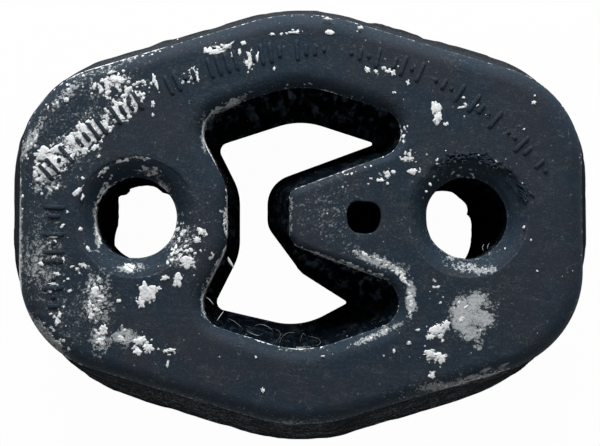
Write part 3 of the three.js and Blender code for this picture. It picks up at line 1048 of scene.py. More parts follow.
    def bore_profile(self) -> tuple[np.ndarray, np.ndarray]:
        """Radius and depth of a bore's rings, from the face down to the middle.

        A low worn step leads from the face into the dish, which curves down ever more steeply to a soft
        lip. Below it the bore runs straight.

        Returns:
            Radii and depths below the face.
        """
        radius, mouth = self.bore_diameter / 2, self.countersink_diameter / 2
        past, step_z = np.transpose(self.rim_steps)
        step_r = mouth + past
        t = np.linspace(0, 1, 13)[1:]
        dish_r = step_r[-1] - (step_r[-1] - radius - self.lip_radius) * t
        dish_z = step_z[-1] + (self.countersink_depth - step_z[-1]) * t**1.5
        lip = np.linspace(0, math.pi / 2, 5)[1:]
        lip_r = radius + self.lip_radius - self.lip_radius * np.sin(lip)
        lip_z = self.countersink_depth + self.lip_depth * (1 - np.cos(lip))
        return np.concatenate([step_r, dish_r, lip_r]), np.concatenate([step_z, dish_z, lip_z])

    def bore(
        self, parts: MeshParts, centre_x: float, seed: int, torn: float, far_rim: FarRim
    ) -> tuple[np.ndarray, np.ndarray]:
        """Adds one bore with a dish at each end.

        Its rings are x = centre + r cos(a), y = r sin(a). A fractal makes their radius wander, and where
        the rim is torn a finer one moves the dish's rings in and out and down. Towards the far end flash
        and tears move the wall by the far rim's own amounts, which fade out towards the dish's edge.

        Args:
            parts: where the bore goes.
            centre_x: X of its axis, which lies on Y = 0.
            seed: picks the wobble.
            torn: how torn the front rim's upper right is, from 0 to 1.
            far_rim: angles in degrees, each with the change of radius there.

        Returns:
            Indices of its rings at the front face and at the back face.
        """
        radii, depths = self.bore_profile()
        middle = np.linspace(self.front - depths[-1], depths[-1], 9)[1:-1]
        back = slice(None, None, -3)
        r = np.concatenate([radii, np.full(len(middle), radii[-1]), radii[back]])
        z = np.concatenate([self.front - depths, middle, depths[back]])
        angle = round_angles(120)
        ring = unit_ring(angle)
        points = ring[None] * r[:, None, None] + np.array([centre_x, 0, 0])
        points[..., 2] += z[:, None]
        flat = points * np.array([1, 1, 0.4])
        wobble = (fractal(flat, 2.6, seed, 3) - 0.5) * self.bore_wobble
        upper = ease(points[..., 2], self.front - 1.6, self.front - 0.1)
        sector = torn * ease(np.cos(angle - self.torn_angle), 0.2, 0.75)[None] * upper
        tear = fractal(flat, 0.9, seed + 5, 2) - 0.45
        wobble = wobble + tear * sector * self.torn_reach
        turns, moves = np.transpose(far_rim)
        ragged = np.interp(np.degrees(angle), turns, moves, period=360)[None]
        narrow = 1 - ease(r, self.bore_diameter / 2 + 0.2, 8.0)
        far = fade(points[..., 2], 6.0, 14.0) * narrow[:, None]
        wobble = wobble * (1 - 0.7 * far) + ragged * far
        points[..., :2] += ring[None, :, :2] * wobble[..., None]
        points[1:-1, :, 2] -= (np.abs(tear) * sector * self.torn_depth)[1:-1]
        points[-1, :, 2] = 0
        crease = np.zeros(len(r))
        crease[[1, len(radii) - 4]] = self.rim_wear
        crease[[2, len(radii) - 5, len(radii) - 3]] = self.rim_wear_beside
        index = parts.add(points, np.repeat(crease[:, None], len(angle), axis=1), self.least_bands)
        step = np.arange(len(r) - 1)
        within = (step >= len(radii) - 3) & (step < len(radii) + len(middle) + 1)
        parts.strip(index, np.where(within, Skin.INNER.value, Skin.FACE.value))
        return index[0], index[-1]

    def core_hole(self, parts: MeshParts) -> np.ndarray:
        """Adds the blind hole in the nose.

        It is slightly out of round: three cosines of its angle, of two, three and four turns, are added
        to the radius.

        Args:
            parts: where the hole goes.

        Returns:
            Indices of its ring at the front face.
        """
        radius = self.core_hole_diameter / 2
        turn, edge = np.linspace(0, math.pi / 2, 5), self.core_edge
        radii = np.concatenate([radius + edge * (1 - np.sin(turn)), np.full(6, radius), [radius * 0.7]])
        floor = self.front - self.core_hole_depth
        wall = np.linspace(self.front - edge, floor + 0.5, 7)[1:]
        heights = np.concatenate([self.front - edge * (1 - np.cos(turn)), wall, [floor + 0.1]])
        angle = round_angles(56)
        shape = 1 + 0.03 * np.cos(2 * angle + 0.6) + 0.025 * np.cos(3 * angle - 1.1)
        shape = (shape - 0.045 * np.cos(4 * angle))[None, :, None]
        points = unit_ring(angle)[None] * radii[:, None, None] * shape + np.array([self.core_x, 0, 0])
        points[..., 2] += heights[:, None]
        hole = parts.add(points, bands=self.least_bands)
        middle = points[-1].mean(axis=0) - np.array([0, 0, 0.1])
        step = np.arange(len(radii) - 1)
        parts.strip(hole, np.where(step >= 2, Skin.INNER.value, Skin.FACE.value))
        parts.fan(hole[-1], parts.add(middle[None])[0], Skin.INNER)
        return hole[0]

    def on_wall(self, column: float, row: float) -> np.ndarray:
        """A point just clear of the opening's front wall, as near as may be to a pixel of the photograph."""
        points = self.opening_wall[self.opening_wall[..., 2] > self.half]
        columns, rows = self.viewpoint.pixel_of(points)
        return points[np.argmin((columns - column) ** 2 + (rows - row) ** 2)]

    def build(self) -> bpy.types.Object:
        """Makes the whole rubber as one closed mesh.

        Returns:
            The object.
        """
        parts = MeshParts()
        block, opening = self.block().surface(), self.opening().surface()
        self.ragged_flash(block)
        self.flutes(opening)
        outer = parts.add(self.stand(block), block.crease(), self.shaded(block, False))
        hollow = parts.add(self.stand(opening), opening.crease(), self.shaded(opening, True))
        self.opening_wall = self.stand(opening) - outward(opening.points) * self.clear_of_wall
        parts.strip(outer, block.skins(Skin.SIDE))
        parts.strip(hollow, opening.skins(Skin.INNER), inside_out=True)
        fronts, backs = [outer[-1], hollow[-1]], [outer[0], hollow[0]]
        rims = (
            (-self.bore_x, Seed.LEFT_BORE, 0.15, LEFT_FAR_RIM),
            (self.bore_x, Seed.RIGHT_BORE, 1.0, RIGHT_FAR_RIM),
        )
        for x, seed, torn, far_rim in rims:
            front, back = self.bore(parts, x, seed, torn, far_rim)
            fronts.append(front)
            backs.append(back)
        fronts.append(self.core_hole(parts))
        triangulate_face(parts, fronts, self.face_spacing, self.front, True)
        triangulate_face(parts, backs, self.back_spacing, 0.0, False)
        for block_points in parts.blocks:
            low = ease(block_points[:, 2], self.half, self.front)
            block_points[:, 2] -= self.sag(block_points) * low
        finishes = (FACE_RUBBER, SIDE_RUBBER, INNER_RUBBER)
        obj = parts.build("rubber_moulding", finishes, **self.dressing(parts))
        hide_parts(NODE)
        return obj

    def dressing(self, parts: MeshParts) -> dict[str, np.ndarray]:
        """How much of each effect every vertex has.

        deposit is the coverage by chalk and film that by thin grey lace, each where the photograph shows it
        and faint elsewhere. The grey wear's coverage is placed the same way; where its patches lift the
        face's tone it is painted light. crease is 1 on rubbed edges, bands is the strength of the streaks,
        which are partly scuffs and partly painted fill light and sheen, and roll is 1 off the flats.

        Args:
            parts: the moulding's vertices.

        Returns:
            The attributes by name.
        """
        points = parts.points()
        column, row = self.viewpoint.pixel_of(points)
        depth = self.front - points[:, 2]
        seen = fade(depth, 1.6, 5.0)
        plain = 0.12 * fractal(points, 9.0, Seed.DUST)
        return {
            "deposit": most(PATCHES, column, row) * seen + plain,
            "film": most(FILMS, column, row) * seen + plain,
            # Grey wear, and painted light where its face patches lift the tone.
            "abrasion": most(ABRASIONS, column, row) * fade(depth, 12.0, 28.0) + plain,
            "crease": np.concatenate(parts.creases),
            "bands": np.concatenate(parts.bands),
            "roll": ease(np.minimum(depth, points[:, 2]), 0.12, 0.9),
        }


def ragged_outlines(
    rng: np.random.Generator, long: np.ndarray, wide: np.ndarray, turn: np.ndarray, count: int
) -> np.ndarray:
    """Uneven ellipses: the radius is 1 plus nine sine waves of falling strength and drawn phase.

    Args:
        rng: the seeded generator.
        long: half-length of each.
        wide: half-width of each.
        turn: angle of each.
        count: points round each.

    Returns:
        outline[ellipse, place, xy] about its centre.
    """
    angle = round_angles(count)
    waves = np.arange(2, 11)
    strength = rng.normal(0, 0.17, (len(long), len(waves))) * (2 / waves) ** 0.6
    phase = rng.uniform(0, 2 * math.pi, strength.shape)
    ripple = np.sum(strength[..., None] * np.sin(waves[:, None] * angle + phase[..., None]), axis=1)
    radius = np.maximum(1 + ripple, 0.3)
    along, across = radius * np.cos(angle) * long[:, None], radius * np.sin(angle) * wide[:, None]
    return turned(along, across, turn[:, None])


@dataclass(frozen=True)
class Pads:
    """The form of low closed pads on the front face.

    rise is each ring's level over the height, from the lowest up, and shrink its size over the outline.
    """

    height: float
    rise: tuple[float, ...]
    shrink: tuple[float, ...]

    def add(
        self, parts: MeshParts, moulding: Moulding, plan: np.ndarray, centres: np.ndarray, sink: Amount = 0.0
    ) -> None:
        """Adds one pad for each outline, with a middle vertex under and over it.

        Args:
            parts: where the pads go.
            moulding: the rubber that they lie on.
            plan: plan[pad, place, xy], each pad's outline about its centre.
            centres: each pad's X and Y.
            sink: how much lower the points stand, in a form that fits [pad, ring, place].
        """
        spread = plan[:, None] * np.array(self.shrink)[:, None, None] + centres[:, None, None]
        levels = moulding.front + np.array(self.rise) * self.height
        heights = np.broadcast_to(levels[:, None, None], spread.shape[:-1] + (1,))
        rings = np.concatenate([spread, heights], axis=-1)
        rings[..., 2] -= moulding.sag(rings) + sink
        index = parts.add(rings)
        middles = parts.add(np.stack([rings[:, 0].mean(axis=1), rings[:, -1].mean(axis=1)], axis=1))
        parts.strip(index)
        parts.fan(index[:, 0], middles[:, 0], inside_out=True)
        parts.fan(index[:, -1], middles[:, 1])


class Stroke(Enum):
    """A raised mark's length across its row, in pixels."""

    TALL = 21
    SHORT = 12
    PIP = 4.5


@dataclass(frozen=True)
class MarkRow:
    """A row of raised marks along a curve on the front face, given by three pixels of the photograph."""

    start: Pair
    middle: Pair
    end: Pair
    seed: int

    def places(self, pitch: float, group: int, gap: float) -> tuple[np.ndarray, np.ndarray]:
        """Where the marks stand and how they are turned, in groups with a gap between.

        The curve is the quadratic one through the three points, with the middle one at half way. Marks
        follow it at even steps of its length.

        Args:
            pitch: distance between marks in pixels.
            group: marks in a group.
            gap: extra distance after each group.

        Returns:
            Pixel positions, one row each, and the curve's direction at each as an angle.
        """
        first, mid, last = (np.array(p, float) for p in (self.start, self.middle, self.end))
        curve = curve_through(first, mid, last, np.linspace(0, 1, 400)[:, None])
        steps = np.hypot(*np.diff(curve, axis=0).T)
        length = np.concatenate([[0.0], np.cumsum(steps)])
        number = np.arange(int(length[-1] / pitch) + 1)
        reach = number * pitch + (number // group) * gap
        reach = reach[reach <= length[-1]]
        column = np.interp(reach, length, curve[:, 0])
        row = np.interp(reach, length, curve[:, 1])
        slope = np.gradient(curve, axis=0)
        angle = np.arctan2(-slope[:, 1], slope[:, 0])
        return np.stack([column, row], axis=-1), np.interp(reach, length, angle)


@dataclass
class MouldMarks:
    """Generic raised marks in rows, where the maker's marking stood."""

    viewpoint: Viewpoint
    moulding: Moulding
    width: float = 0.5
    pitch: float = 9.0
    group: int = 4
    gap: float = 9.0
    shares: tuple[float, ...] = (0.5, 0.3, 0.2)  # of tall strokes, short ones and pips
    form: Pads = Pads(0.23, (-0.25, 0.0, 0.45, 0.85, 1.0), (1.12, 1.1, 1.0, 0.9, 0.7))
    foot: float = 0.1  # how much deeper the lowest ring stands in the rubber
    rows: tuple[MarkRow, ...] = (
        MarkRow((54, 306), (53, 254), (54, 204), 1),
        MarkRow((45, 172), (92, 131), (143, 96), 2),
        MarkRow((168, 84), (250, 55), (334, 48), 3),
        MarkRow((352, 51), (458, 90), (552, 176), 4),
    )

    def build(self) -> bpy.types.Object:
        """Makes all marks as one mesh of closed pads with rounded ends.

        Returns:
            The object.
        """
        parts = MeshParts()
        for row in self.rows:
            pixels, turns = row.places(self.pitch, self.group, self.gap)
            rng = np.random.default_rng(row.seed)
            kinds = np.array([s.value for s in Stroke])[rng.choice(3, len(pixels), p=self.shares)]
            scale = self.viewpoint.face_scale
            x, y = self.viewpoint.on_face(pixels[:, 0], pixels[:, 1])
            half_long = np.maximum(kinds * scale / 2 - self.width / 2, 0.0)
            angle = round_angles(24)
            across = np.cos(angle)[None] * self.width / 2
            along = np.sin(angle)[None] * self.width / 2
            along = along + np.sign(np.sin(angle + 1e-9)) * half_long[:, None]
            plan = turned(across, along, turns[:, None])
            sink = self.foot * (np.arange(len(self.form.rise)) == 0)[:, None]
            self.form.add(parts, self.moulding, plan, np.stack([x, y], axis=-1), sink)
        points = parts.points()
        column, row = self.viewpoint.pixel_of(points)
        rise = ease(points[:, 2], self.moulding.front - 0.1, self.moulding.front + 0.12)
        return parts.build(
            "mould_marks",
            (FACE_RUBBER,),
            deposit=most(PATCHES, column, row) * (0.85 - 0.5 * rise),
            film=most(FILMS, column, row) * 0.7,
            abrasion=most(ABRASIONS, column, row) * 0.6,
            crease=0.0,
            bands=1.0,
            roll=0.0,
        )


@dataclass(frozen=True)
class Flake:
    """One flake of chalk on the flat of the face: an uneven ellipse, sized and placed in pixels."""

    column: float
    row: float
    long: float
    wide: float
    turn: float = 0


FLAKES = each(
    Flake,
    (65, 99, 2.6, 2.6), (93, 85, 1.8, 4.2, -8), (107, 97, 2.5, 2), (115, 79, 8.5, 2.4, -12),
    (110, 71, 4.5, 1.6, 15), (154, 80, 2.2, 7, 12), (134, 98, 3.4, 8, 12), (124, 103, 2.6, 5, 10),
    (118, 118, 7, 2.6, 20), (104, 124, 3, 5, 10), (92, 131, 5, 3.2, 35), (80, 127, 2.6, 4.5, 20),
    (70, 140, 4.4, 6, 30), (56, 148, 8, 3.2, 35), (41, 153, 9, 5, 10), (53, 165, 5.5, 7.5, 20),
    (41, 170, 4, 7, 10), (68, 158, 3, 5.5, 30), (82, 150, 3.6, 5, 30), (94, 147, 4.6, 2.6, 30),
    (76, 192, 5.5, 2.4, 52), (82, 178, 1.6, 1.6), (82, 197, 1.4, 3, -20), (98, 156, 2, 1.4),
    (152, 103, 1.8, 3.6), (152, 114, 1.4, 1.8), (177, 82, 1.8, 3.2), (191, 69, 2.6, 3.8, -40),
    (197, 78, 1.6, 2.2), (213, 50, 9, 2.6, 4), (227, 44, 6, 1.8, 30), (243, 41, 2.8, 2.2),
    (232, 53, 1.5, 3), (239, 50, 1.5, 3.6), (250, 58, 2.3, 9.5, -8), (257, 55, 1.4, 5, -8),
    (274, 67, 1.2, 2.2), (294, 30, 6, 1.3, 3), (272, 32, 3, 1.2, 20), (330, 30, 4.4, 2.8),
    (328, 16, 4.5, 1.2, -8), (361, 25, 2.8, 1.8), (368, 68, 3.6, 2.4, -20), (377, 70, 1.5, 1.8),
    (394, 71, 2.6, 3), (395, 91, 1.7, 1.4), (409, 81, 1.7, 2.6), (437, 107, 4.6, 6.5, 10),
    (439, 117, 4.2, 6, -10), (447, 123, 2.4, 2), (463, 106, 4.2, 1.3, 8), (467, 103, 1.7, 1.5),
    (465, 96, 1.5, 1.4), (489, 114, 1.5, 1.3), (526, 128, 1.1, 1), (479, 104, 1.3, 1),
    (536, 101, 2.4, 1.8, -20), (537, 94, 1, 1), (413, 171, 4.8, 3.2), (381, 180, 3.6, 1.5),
    (388, 183, 1.5, 1.5), (431, 184, 1.5, 1.7), (427, 191, 1.3, 1.3), (532, 240, 1.1, 1.1),
    (525, 227, 1.2, 1.6), (538, 271, 1.2, 1), (147, 293, 8, 9.5, 10), (155, 289, 5.5, 3.4, 5),
    (141, 303, 4, 5, 20), (119, 301, 2.5, 1.8), (165, 278, 4.2, 2.4, 15), (187, 262, 8, 5, 25),
    (178, 280, 4.4, 6.5, -10), (197, 240, 4, 3, 30), (201, 232, 3, 3), (191, 250, 2.2, 2),
    (95, 292, 3.5, 6), (97, 310, 2.6, 2.2), (90, 305, 2, 3.6), (104, 330, 4, 5, 20),
    (100, 341, 3, 3.6), (140, 341, 6, 4, 10), (149, 348, 5, 4.2, -10), (138, 352, 4, 3),
    (172, 350, 4.2, 1.6), (168, 364, 1.5, 3.4, -10), (60, 315, 1.8, 3), (85, 266, 1.5, 3, 20),
    (77, 269, 1.9, 1.5, 30), (68, 279, 1.5, 1.2), (70, 291, 1.9, 1.8), (53, 237, 4.2, 1.3),
    (51, 243, 4, 0.8, 8), (54, 257, 2, 1.6, 30), (41, 264, 3.2, 1.9, -40), (63, 260, 1.7, 3),
    (57, 274, 3.4, 1.7, -15), (53, 284, 3.6, 1.5), (50, 291, 2, 2.2, 40), (62, 226, 2.6, 1.6, 40),
    (67, 212, 1.2, 1.2), (51, 314, 1.5, 1.2, 30), (64, 307, 1, 1.3), (57, 323, 1.7, 2.6),
    (22, 196, 1.3, 1.7), (22, 209, 1, 1), (263, 390, 1.4, 3, 15), (394, 351, 1.5, 2),
    (323, 356, 1.4, 1.2), (256, 357, 1.3, 1.1), (436, 330, 6, 5.4, 20), (446, 325, 4, 4.6),
    (430, 337, 4, 3), (430, 354, 6.5, 3.4, -10), (441, 358, 5.5, 4.2, -5), (432, 375, 2.6, 3.6),
    (409, 343, 2.2, 1.8, 40), (418, 330, 2, 1.5),
)


@dataclass
class ChalkFlakes:
    """The single flakes, as thin closed pads with ragged outlines."""

    viewpoint: Viewpoint
    moulding: Moulding
    flakes: tuple[Flake, ...] = FLAKES
    form: Pads = Pads(0.09, (-0.12, 0.0, 0.7, 1.0), (1.0, 1.0, 0.94, 0.8))
    seed: int = 7

    def build(self) -> bpy.types.Object:
        """Makes all flakes as one mesh. Their rings run from inside the rubber to a flat top.

        Returns:
            The object.
        """
        rng = np.random.default_rng(self.seed)
        column, row, long, wide, turn = np.array([astuple(flake) for flake in self.flakes]).T
        plan = ragged_outlines(rng, long, wide, np.radians(turn), 44) * self.viewpoint.face_scale
        x, y = self.viewpoint.on_face(column, row)
        parts = MeshParts()
        self.form.add(parts, self.moulding, plan, np.stack([x, y], axis=-1))
        return parts.build("chalk_flakes", (ChalkFinish(),))


@dataclass
class RimCrumbs:
    """Crumbs of torn rubber round the upper right of the nose bore's dish."""

    moulding: Moulding
    count: int = 70
    first_angle: float = math.radians(15)
    last_angle: float = math.radians(125)
    past_rim: float = 0.45
    scatter: float = 0.28
    lengths: Pair = (0.18, 0.62)
    widths: Pair = (0.08, 0.2)
    turn_scatter: float = 0.35
    form: Pads = Pads(0.2, (-2.0, 0.0, 0.6, 1.0), (1.0, 1.0, 0.85, 0.5))
    dish_slope: float = 0.7

    def build(self) -> bpy.types.Object:
        """Makes all crumbs as one mesh of closed pads.

        Their places are drawn along an arc just outside and inside the dish's edge. They are long along
        the arc, with outlines made as those of the chalk flakes.

        Returns:
            The object.
        """
        rng = np.random.default_rng(Seed.CRUMBS)
        mouth = self.moulding.countersink_diameter / 2
        at = rng.uniform(self.first_angle, self.last_angle, self.count)
        reach = mouth + self.past_rim + rng.normal(0, self.scatter, self.count)
        long = rng.uniform(*self.lengths, self.count)
        wide = rng.uniform(*self.widths, self.count)
        turn = at + math.pi / 2 + rng.normal(0, self.turn_scatter, self.count)
        outline = ragged_outlines(rng, long, wide, turn, 24)
        centres = np.stack([self.moulding.bore_x + reach * np.cos(at), reach * np.sin(at)], axis=-1)
        depth = np.maximum(0.0, mouth - 0.1 - reach) * self.dish_slope
        parts = MeshParts()
        self.form.add(parts, self.moulding, outline, centres, depth[:, None, None])
        dressing = dict(deposit=0.25, film=0.0, abrasion=0.3, crease=0.0, bands=1.0, roll=1.0)
        return parts.build("rim_crumbs", (FACE_RUBBER,), **dressing)


@dataclass(frozen=True)
class Sliver:
    """A sliver or hair through three pixels: how thick it is, and how deep below the front face it lies.

    One without a depth lies on the opening's wall.
    """

    first: Pair
    middle: Pair
    last: Pair
    thick: float
    depth: float | None = None


SLIVERS = each(
    Sliver,
    ((228, 257), (230, 262), (234, 268), 0.2, 2.2), ((224, 311), (221, 315), (217, 321), 0.05, 2.0),
    ((206, 297), (210, 300), (214, 305), 0.05, 2.0), ((484, 251), (483, 247), (485, 244), 0.035, 1.8),
    ((488, 249), (488, 246), (490, 243), 0.03, 1.8), ((253, 328), (262, 325), (275, 330), 0.035),
    ((274, 328), (281, 333), (276, 342), 0.035), ((279, 345), (284, 334), (294, 333), 0.035),
    ((300, 345), (305, 334), (309, 341), 0.035), ((309, 335), (318, 340), (317, 345), 0.035),
    ((228, 318), (236, 322), (243, 328), 0.035), ((246, 330), (258, 335), (263, 333), 0.03),
)


@dataclass
class Fibres:
    """A few pale slivers and hairs caught at the opening's rim and on its wall."""

    viewpoint: Viewpoint
    moulding: Moulding
    slivers: tuple[Sliver, ...] = SLIVERS

    def _anchor(self, pixel: Pair, depth: float | None) -> np.ndarray:
        """Where a pixel of a sliver lies."""
        if depth is None:
            return self.moulding.on_wall(*pixel)
        return np.array(self.viewpoint.at_depth(*pixel, depth))

    def build(self) -> bpy.types.Object:
        """Makes each as a closed spindle along a quadratic curve.

        The spindle's radius is its thickness times sin(pi t)^0.7 at the share t of its length.

        Returns:
            The object.
        """
        parts = MeshParts()
        t = np.linspace(0.02, 0.98, 12)[:, None]
        angle = round_angles(8)
        for sliver in self.slivers:
            pixels = (sliver.first, sliver.middle, sliver.last)
            spine = curve_through(*(self._anchor(pixel, sliver.depth) for pixel in pixels), t)
            along = np.gradient(spine, axis=0)
            along /= np.linalg.norm(along, axis=1, keepdims=True)
            side = np.cross(along, np.array([0.0, 0.0, 1.0]))
            radius = sliver.thick * np.sin(math.pi * t) ** 0.7
            rise = np.array([0, 0, 0.5])
            circle = side[:, None] * np.cos(angle)[:, None] + rise * np.sin(angle)[:, None]
            index = parts.add(spine[:, None] + circle * radius[:, None])
            parts.strip(index, inside_out=True)
            tips = parts.add(spine[[0, -1]] * 1.5 - spine[[1, -2]] * 0.5)
            parts.fan(index[0], tips[0])
            parts.fan(index[-1], tips[1], inside_out=True)
        return parts.build("stray_fibres", (FibreFinish(),))


def new_material(name: str) -> tuple[bpy.types.Material, "Nodes", bpy.types.Node]:
    """A new material with its nodes and its Principled shader."""
    material = bpy.data.materials.new(name)
    material.use_nodes = True
    return material, Nodes(material.node_tree), material.node_tree.nodes["Principled BSDF"]


@dataclass
class Nodes:
    """A node tree with short ways to add what the finishes need."""

    tree: bpy.types.NodeTree

    def add(self, kind: str, given: Given | None = None, **settings: object) -> bpy.types.Node:
        """Adds a node.

        Args:
            kind: its type.
            given: a socket or a plain value for each of its inputs, by name or number.
            settings: its own properties.

        Returns:
            The node.
        """
        node = self.tree.nodes.new(kind)
        for key, value in settings.items():
            setattr(node, key, value)
        for key, value in (given or {}).items():
            self.feed(node.inputs[key], value)
        return node

    def feed(self, target: Socket, value: object) -> None:
        """Links a socket to the target, or sets the target to a plain value."""
        if isinstance(value, Socket):
            self.tree.links.new(value, target)
        else:
            target.default_value = value

    def maths(self, operation: str, *values: object) -> Socket:
        """One Math node on up to three values or sockets."""
        node = self.add("ShaderNodeMath", operation=operation)
        for target, value in zip(node.inputs, values):
            self.feed(target, value)
        return node.outputs[0]

    def times(self, first: object, second: object) -> Socket:
        """The product of two."""
        return self.maths("MULTIPLY", first, second)

    def total(self, *terms: tuple[object, object]) -> Socket:
        """The sum of products, one for each pair of factors."""
        result = self.times(*terms[0])
        for value, weight in terms[1:]:
            result = self.maths("MULTIPLY_ADD", value, weight, result)
        return result

    def noise(self, vector: object, scale: float, detail: float = 4, rough: float = 0.55) -> Socket:
        """The value of a Noise Texture on a vector."""
        given = {"Vector": vector, "Scale": scale, "Detail": detail, "Roughness": rough}
        return self.add("ShaderNodeTexNoise", given).outputs["Fac"]

    def ridge(self, vector: object, scale: float, detail: float, width: float) -> Socket:
        """1 on the thin lines where a noise passes its middle value, falling to 0 at the width."""
        away = self.maths("ABSOLUTE", self.maths("SUBTRACT", self.noise(vector, scale, detail, 0.6), 0.5))
        return self.maths("SUBTRACT", 1.0, self.ramp(away, 0.0, width))

    def ramp(self, value: object, low: float, high: float) -> Socket:
        """A smooth step from 0 at low to 1 at high."""
        given = {"Value": value, "From Min": low, "From Max": high}
        return self.add("ShaderNodeMapRange", given, interpolation_type="SMOOTHSTEP").outputs["Result"]

    def blend(self, share: object, first: object, second: object) -> Socket:
        """A colour between two, by share."""
        node = self.add("ShaderNodeMix", data_type="RGBA")
        for name, value in (("Factor_Float", share), ("A_Color", first), ("B_Color", second)):
            self.feed(next(s for s in node.inputs if s.identifier == name), value)
        return next(s for s in node.outputs if s.identifier == "Result_Color")

    def drawn(self, vector: object, factors: object) -> Socket:
        """A vector multiplied along each axis. A small factor draws out the pattern on it."""
        return self.add("ShaderNodeVectorMath", {0: vector, 1: factors}, operation="MULTIPLY").outputs[0]

    def turned(self, vector: object, turn: float) -> Socket:
        """A vector turned about Z."""
        return self.add("ShaderNodeMapping", {"Vector": vector, "Rotation": (0, 0, turn)}).outputs[0]

    def attribute(self, name: str) -> Socket:
        """The number that a mesh holds at each vertex under a name."""
        return self.add("ShaderNodeAttribute", attribute_name=name).outputs["Fac"]

    def millimetres(self) -> Socket:
        """The place on the piece, in millimetres."""
        place = self.add("ShaderNodeTexCoord").outputs["Object"]
        return self.drawn(place, (1 / MM, 1 / MM, 1 / MM))

    def background_rays(self) -> Socket:
        """1 for camera, glossy and transmission rays, which see the background as plain white."""
        rays = self.add("ShaderNodeLightPath")
        seen = self.maths("MAXIMUM", rays.outputs["Is Camera Ray"], rays.outputs["Is Glossy Ray"])
        return self.maths("MAXIMUM", seen, rays.outputs["Is Transmission Ray"])

    def use(self, effect: "Effect", **values: object) -> Sockets:
        """Puts an effect's group in this tree.

        Args:
            effect: the effect.
            values: a socket or a plain value for each input of the group.

        Returns:
            The group's outputs by name.
        """
        node = self.add("ShaderNodeGroup")
        node.node_tree = effect.group()
        for key, value in values.items():
            self.feed(node.inputs[key], value)
        return {key: node.outputs[key] for key in effect.gives}

    def bump(self, height: object, distance: float, strength: float) -> Socket:
        """The normal that a height gives, with distance in millimetres."""
        given = {"Strength": strength, "Distance": distance * MM, "Height": height}
        return self.add("ShaderNodeBump", given).outputs["Normal"]


class Finish(Protocol):
    """What covers a surface."""

    def material(self) -> bpy.types.Material:
        """Gives its material."""


class Effect:
    """A pattern that several materials or effects show, kept as one shader node group.

    takes and gives are the socket types of the group's inputs and outputs, by name.
    """

    name: Name
    takes: Ports
    gives: Ports

    def group(self) -> bpy.types.NodeTree:
        """The effect's group, built when it is first asked for.

        Returns:
            The node group.
        """
        known = bpy.data.node_groups.get(self.name)
        if known is not None:
            return known
        tree = bpy.data.node_groups.new(self.name, "ShaderNodeTree")
        for key, kind in self.takes.items():
            tree.interface.new_socket(name=key, in_out="INPUT", socket_type=kind)
        for key, kind in self.gives.items():
            tree.interface.new_socket(name=key, in_out="OUTPUT", socket_type=kind)
        n = Nodes(tree)
        start, end = n.add("NodeGroupInput"), n.add("NodeGroupOutput")
        for key, socket in self.drawing(n, {key: start.outputs[key] for key in self.takes}).items():
            n.feed(end.inputs[key], socket)
        return tree

    def drawing(self, n: Nodes, given: Sockets) -> Sockets:
        """Adds the effect's own nodes.

        Args:
            n: the group's nodes.
            given: its inputs by name.

        Returns:
            What to put out, by name.
        """
        raise NotImplementedError


@dataclass(frozen=True)
class ChalkTone(Effect):
    """Effect: dry chalk in soft blotches of two tones."""

    name: Name = "chalk_tone"
    takes: Ports = {"Place": VECTOR}
    gives: Ports = {"Colour": COLOUR}
    pale: Colour = (0.92, 0.94, 0.95, 1)
    shade: Colour = (0.45, 0.49, 0.51, 1)
    parting: Pair = (0.32, 0.5)

    def drawing(self, n: Nodes, given: Sockets) -> Sockets:
        """A fractal, passed through a soft threshold, picks the tone.

        Args:
            n: the group's nodes.
            given: its inputs by name.

        Returns:
            What to put out, by name.
        """
        tone = n.ramp(n.noise(given["Place"], 2.6, 4, 0.7), *self.parting)
        return {"Colour": n.blend(tone, self.shade, self.pale)}


@dataclass(frozen=True)
class ChalkCrust(Effect):
    """Effect: where chalky deposit lies, broken into flakes and specks."""

    name: Name = "chalk_crust"
    takes: Ports = {"Place": VECTOR, "Cover": FLOAT, "Edge": FLOAT}
    gives: Ports = {"Crust": FLOAT, "Haze": FLOAT, "Height": FLOAT}
    crust: Pair = (1.42, 1.48)
    haze: Pair = (1.28, 1.48)
    height: Pair = (1.38, 1.8)

    def drawing(self, n: Nodes, given: Sockets) -> Sockets:
        """Where the deposit is thick, where it is a film, and how high it stands.

        Coverage, a coarse fractal, a fine one and a cell pattern are added, and the sum has to pass a
        threshold. A rubbed edge counts as extra coverage. Haze uses a lower threshold, for the thin film
        round each flake.

        Args:
            n: the group's nodes.
            given: its inputs by name.

        Returns:
            What to put out, by name.
        """
        cells = n.add("ShaderNodeTexVoronoi", {"Vector": given["Place"], "Scale": 1.5})
        total = n.total(
            (n.noise(given["Place"], 0.8, 2), 0.8),
            (n.noise(given["Place"], 2.1, 3), 1.4),
            (cells.outputs["Distance"], -0.8),
            (given["Cover"], 1.0),
            (given["Edge"], 0.42),
        )
        steps = {"Crust": self.crust, "Haze": self.haze, "Height": self.height}
        return {key: n.ramp(total, *step) for key, step in steps.items()}


@dataclass(frozen=True)
class LacyFilm(Effect):
    """Effect: a thin grey film that frays into lace at its border."""

    name: Name = "lacy_film"
    takes: Ports = {"Place": VECTOR, "Cover": FLOAT}
    gives: Ports = {"Mask": FLOAT}
    border: Pair = (1.28, 1.42)

    def drawing(self, n: Nodes, given: Sockets) -> Sockets:
        """Coverage and two fractals less a ridge pattern, passed through a soft threshold.

        Args:
            n: the group's nodes.
            given: its inputs by name.

        Returns:
            What to put out, by name.
        """
        total = n.total(
            (n.noise(given["Place"], 0.9, 3, 0.6), 0.9),
            (n.noise(given["Place"], 2.2, 3, 0.6), 1.1),
            (n.ridge(given["Place"], 1.3, 2, 0.07), -0.25),
            (given["Cover"], 0.8),
        )
        return {"Mask": n.ramp(total, *self.border)}


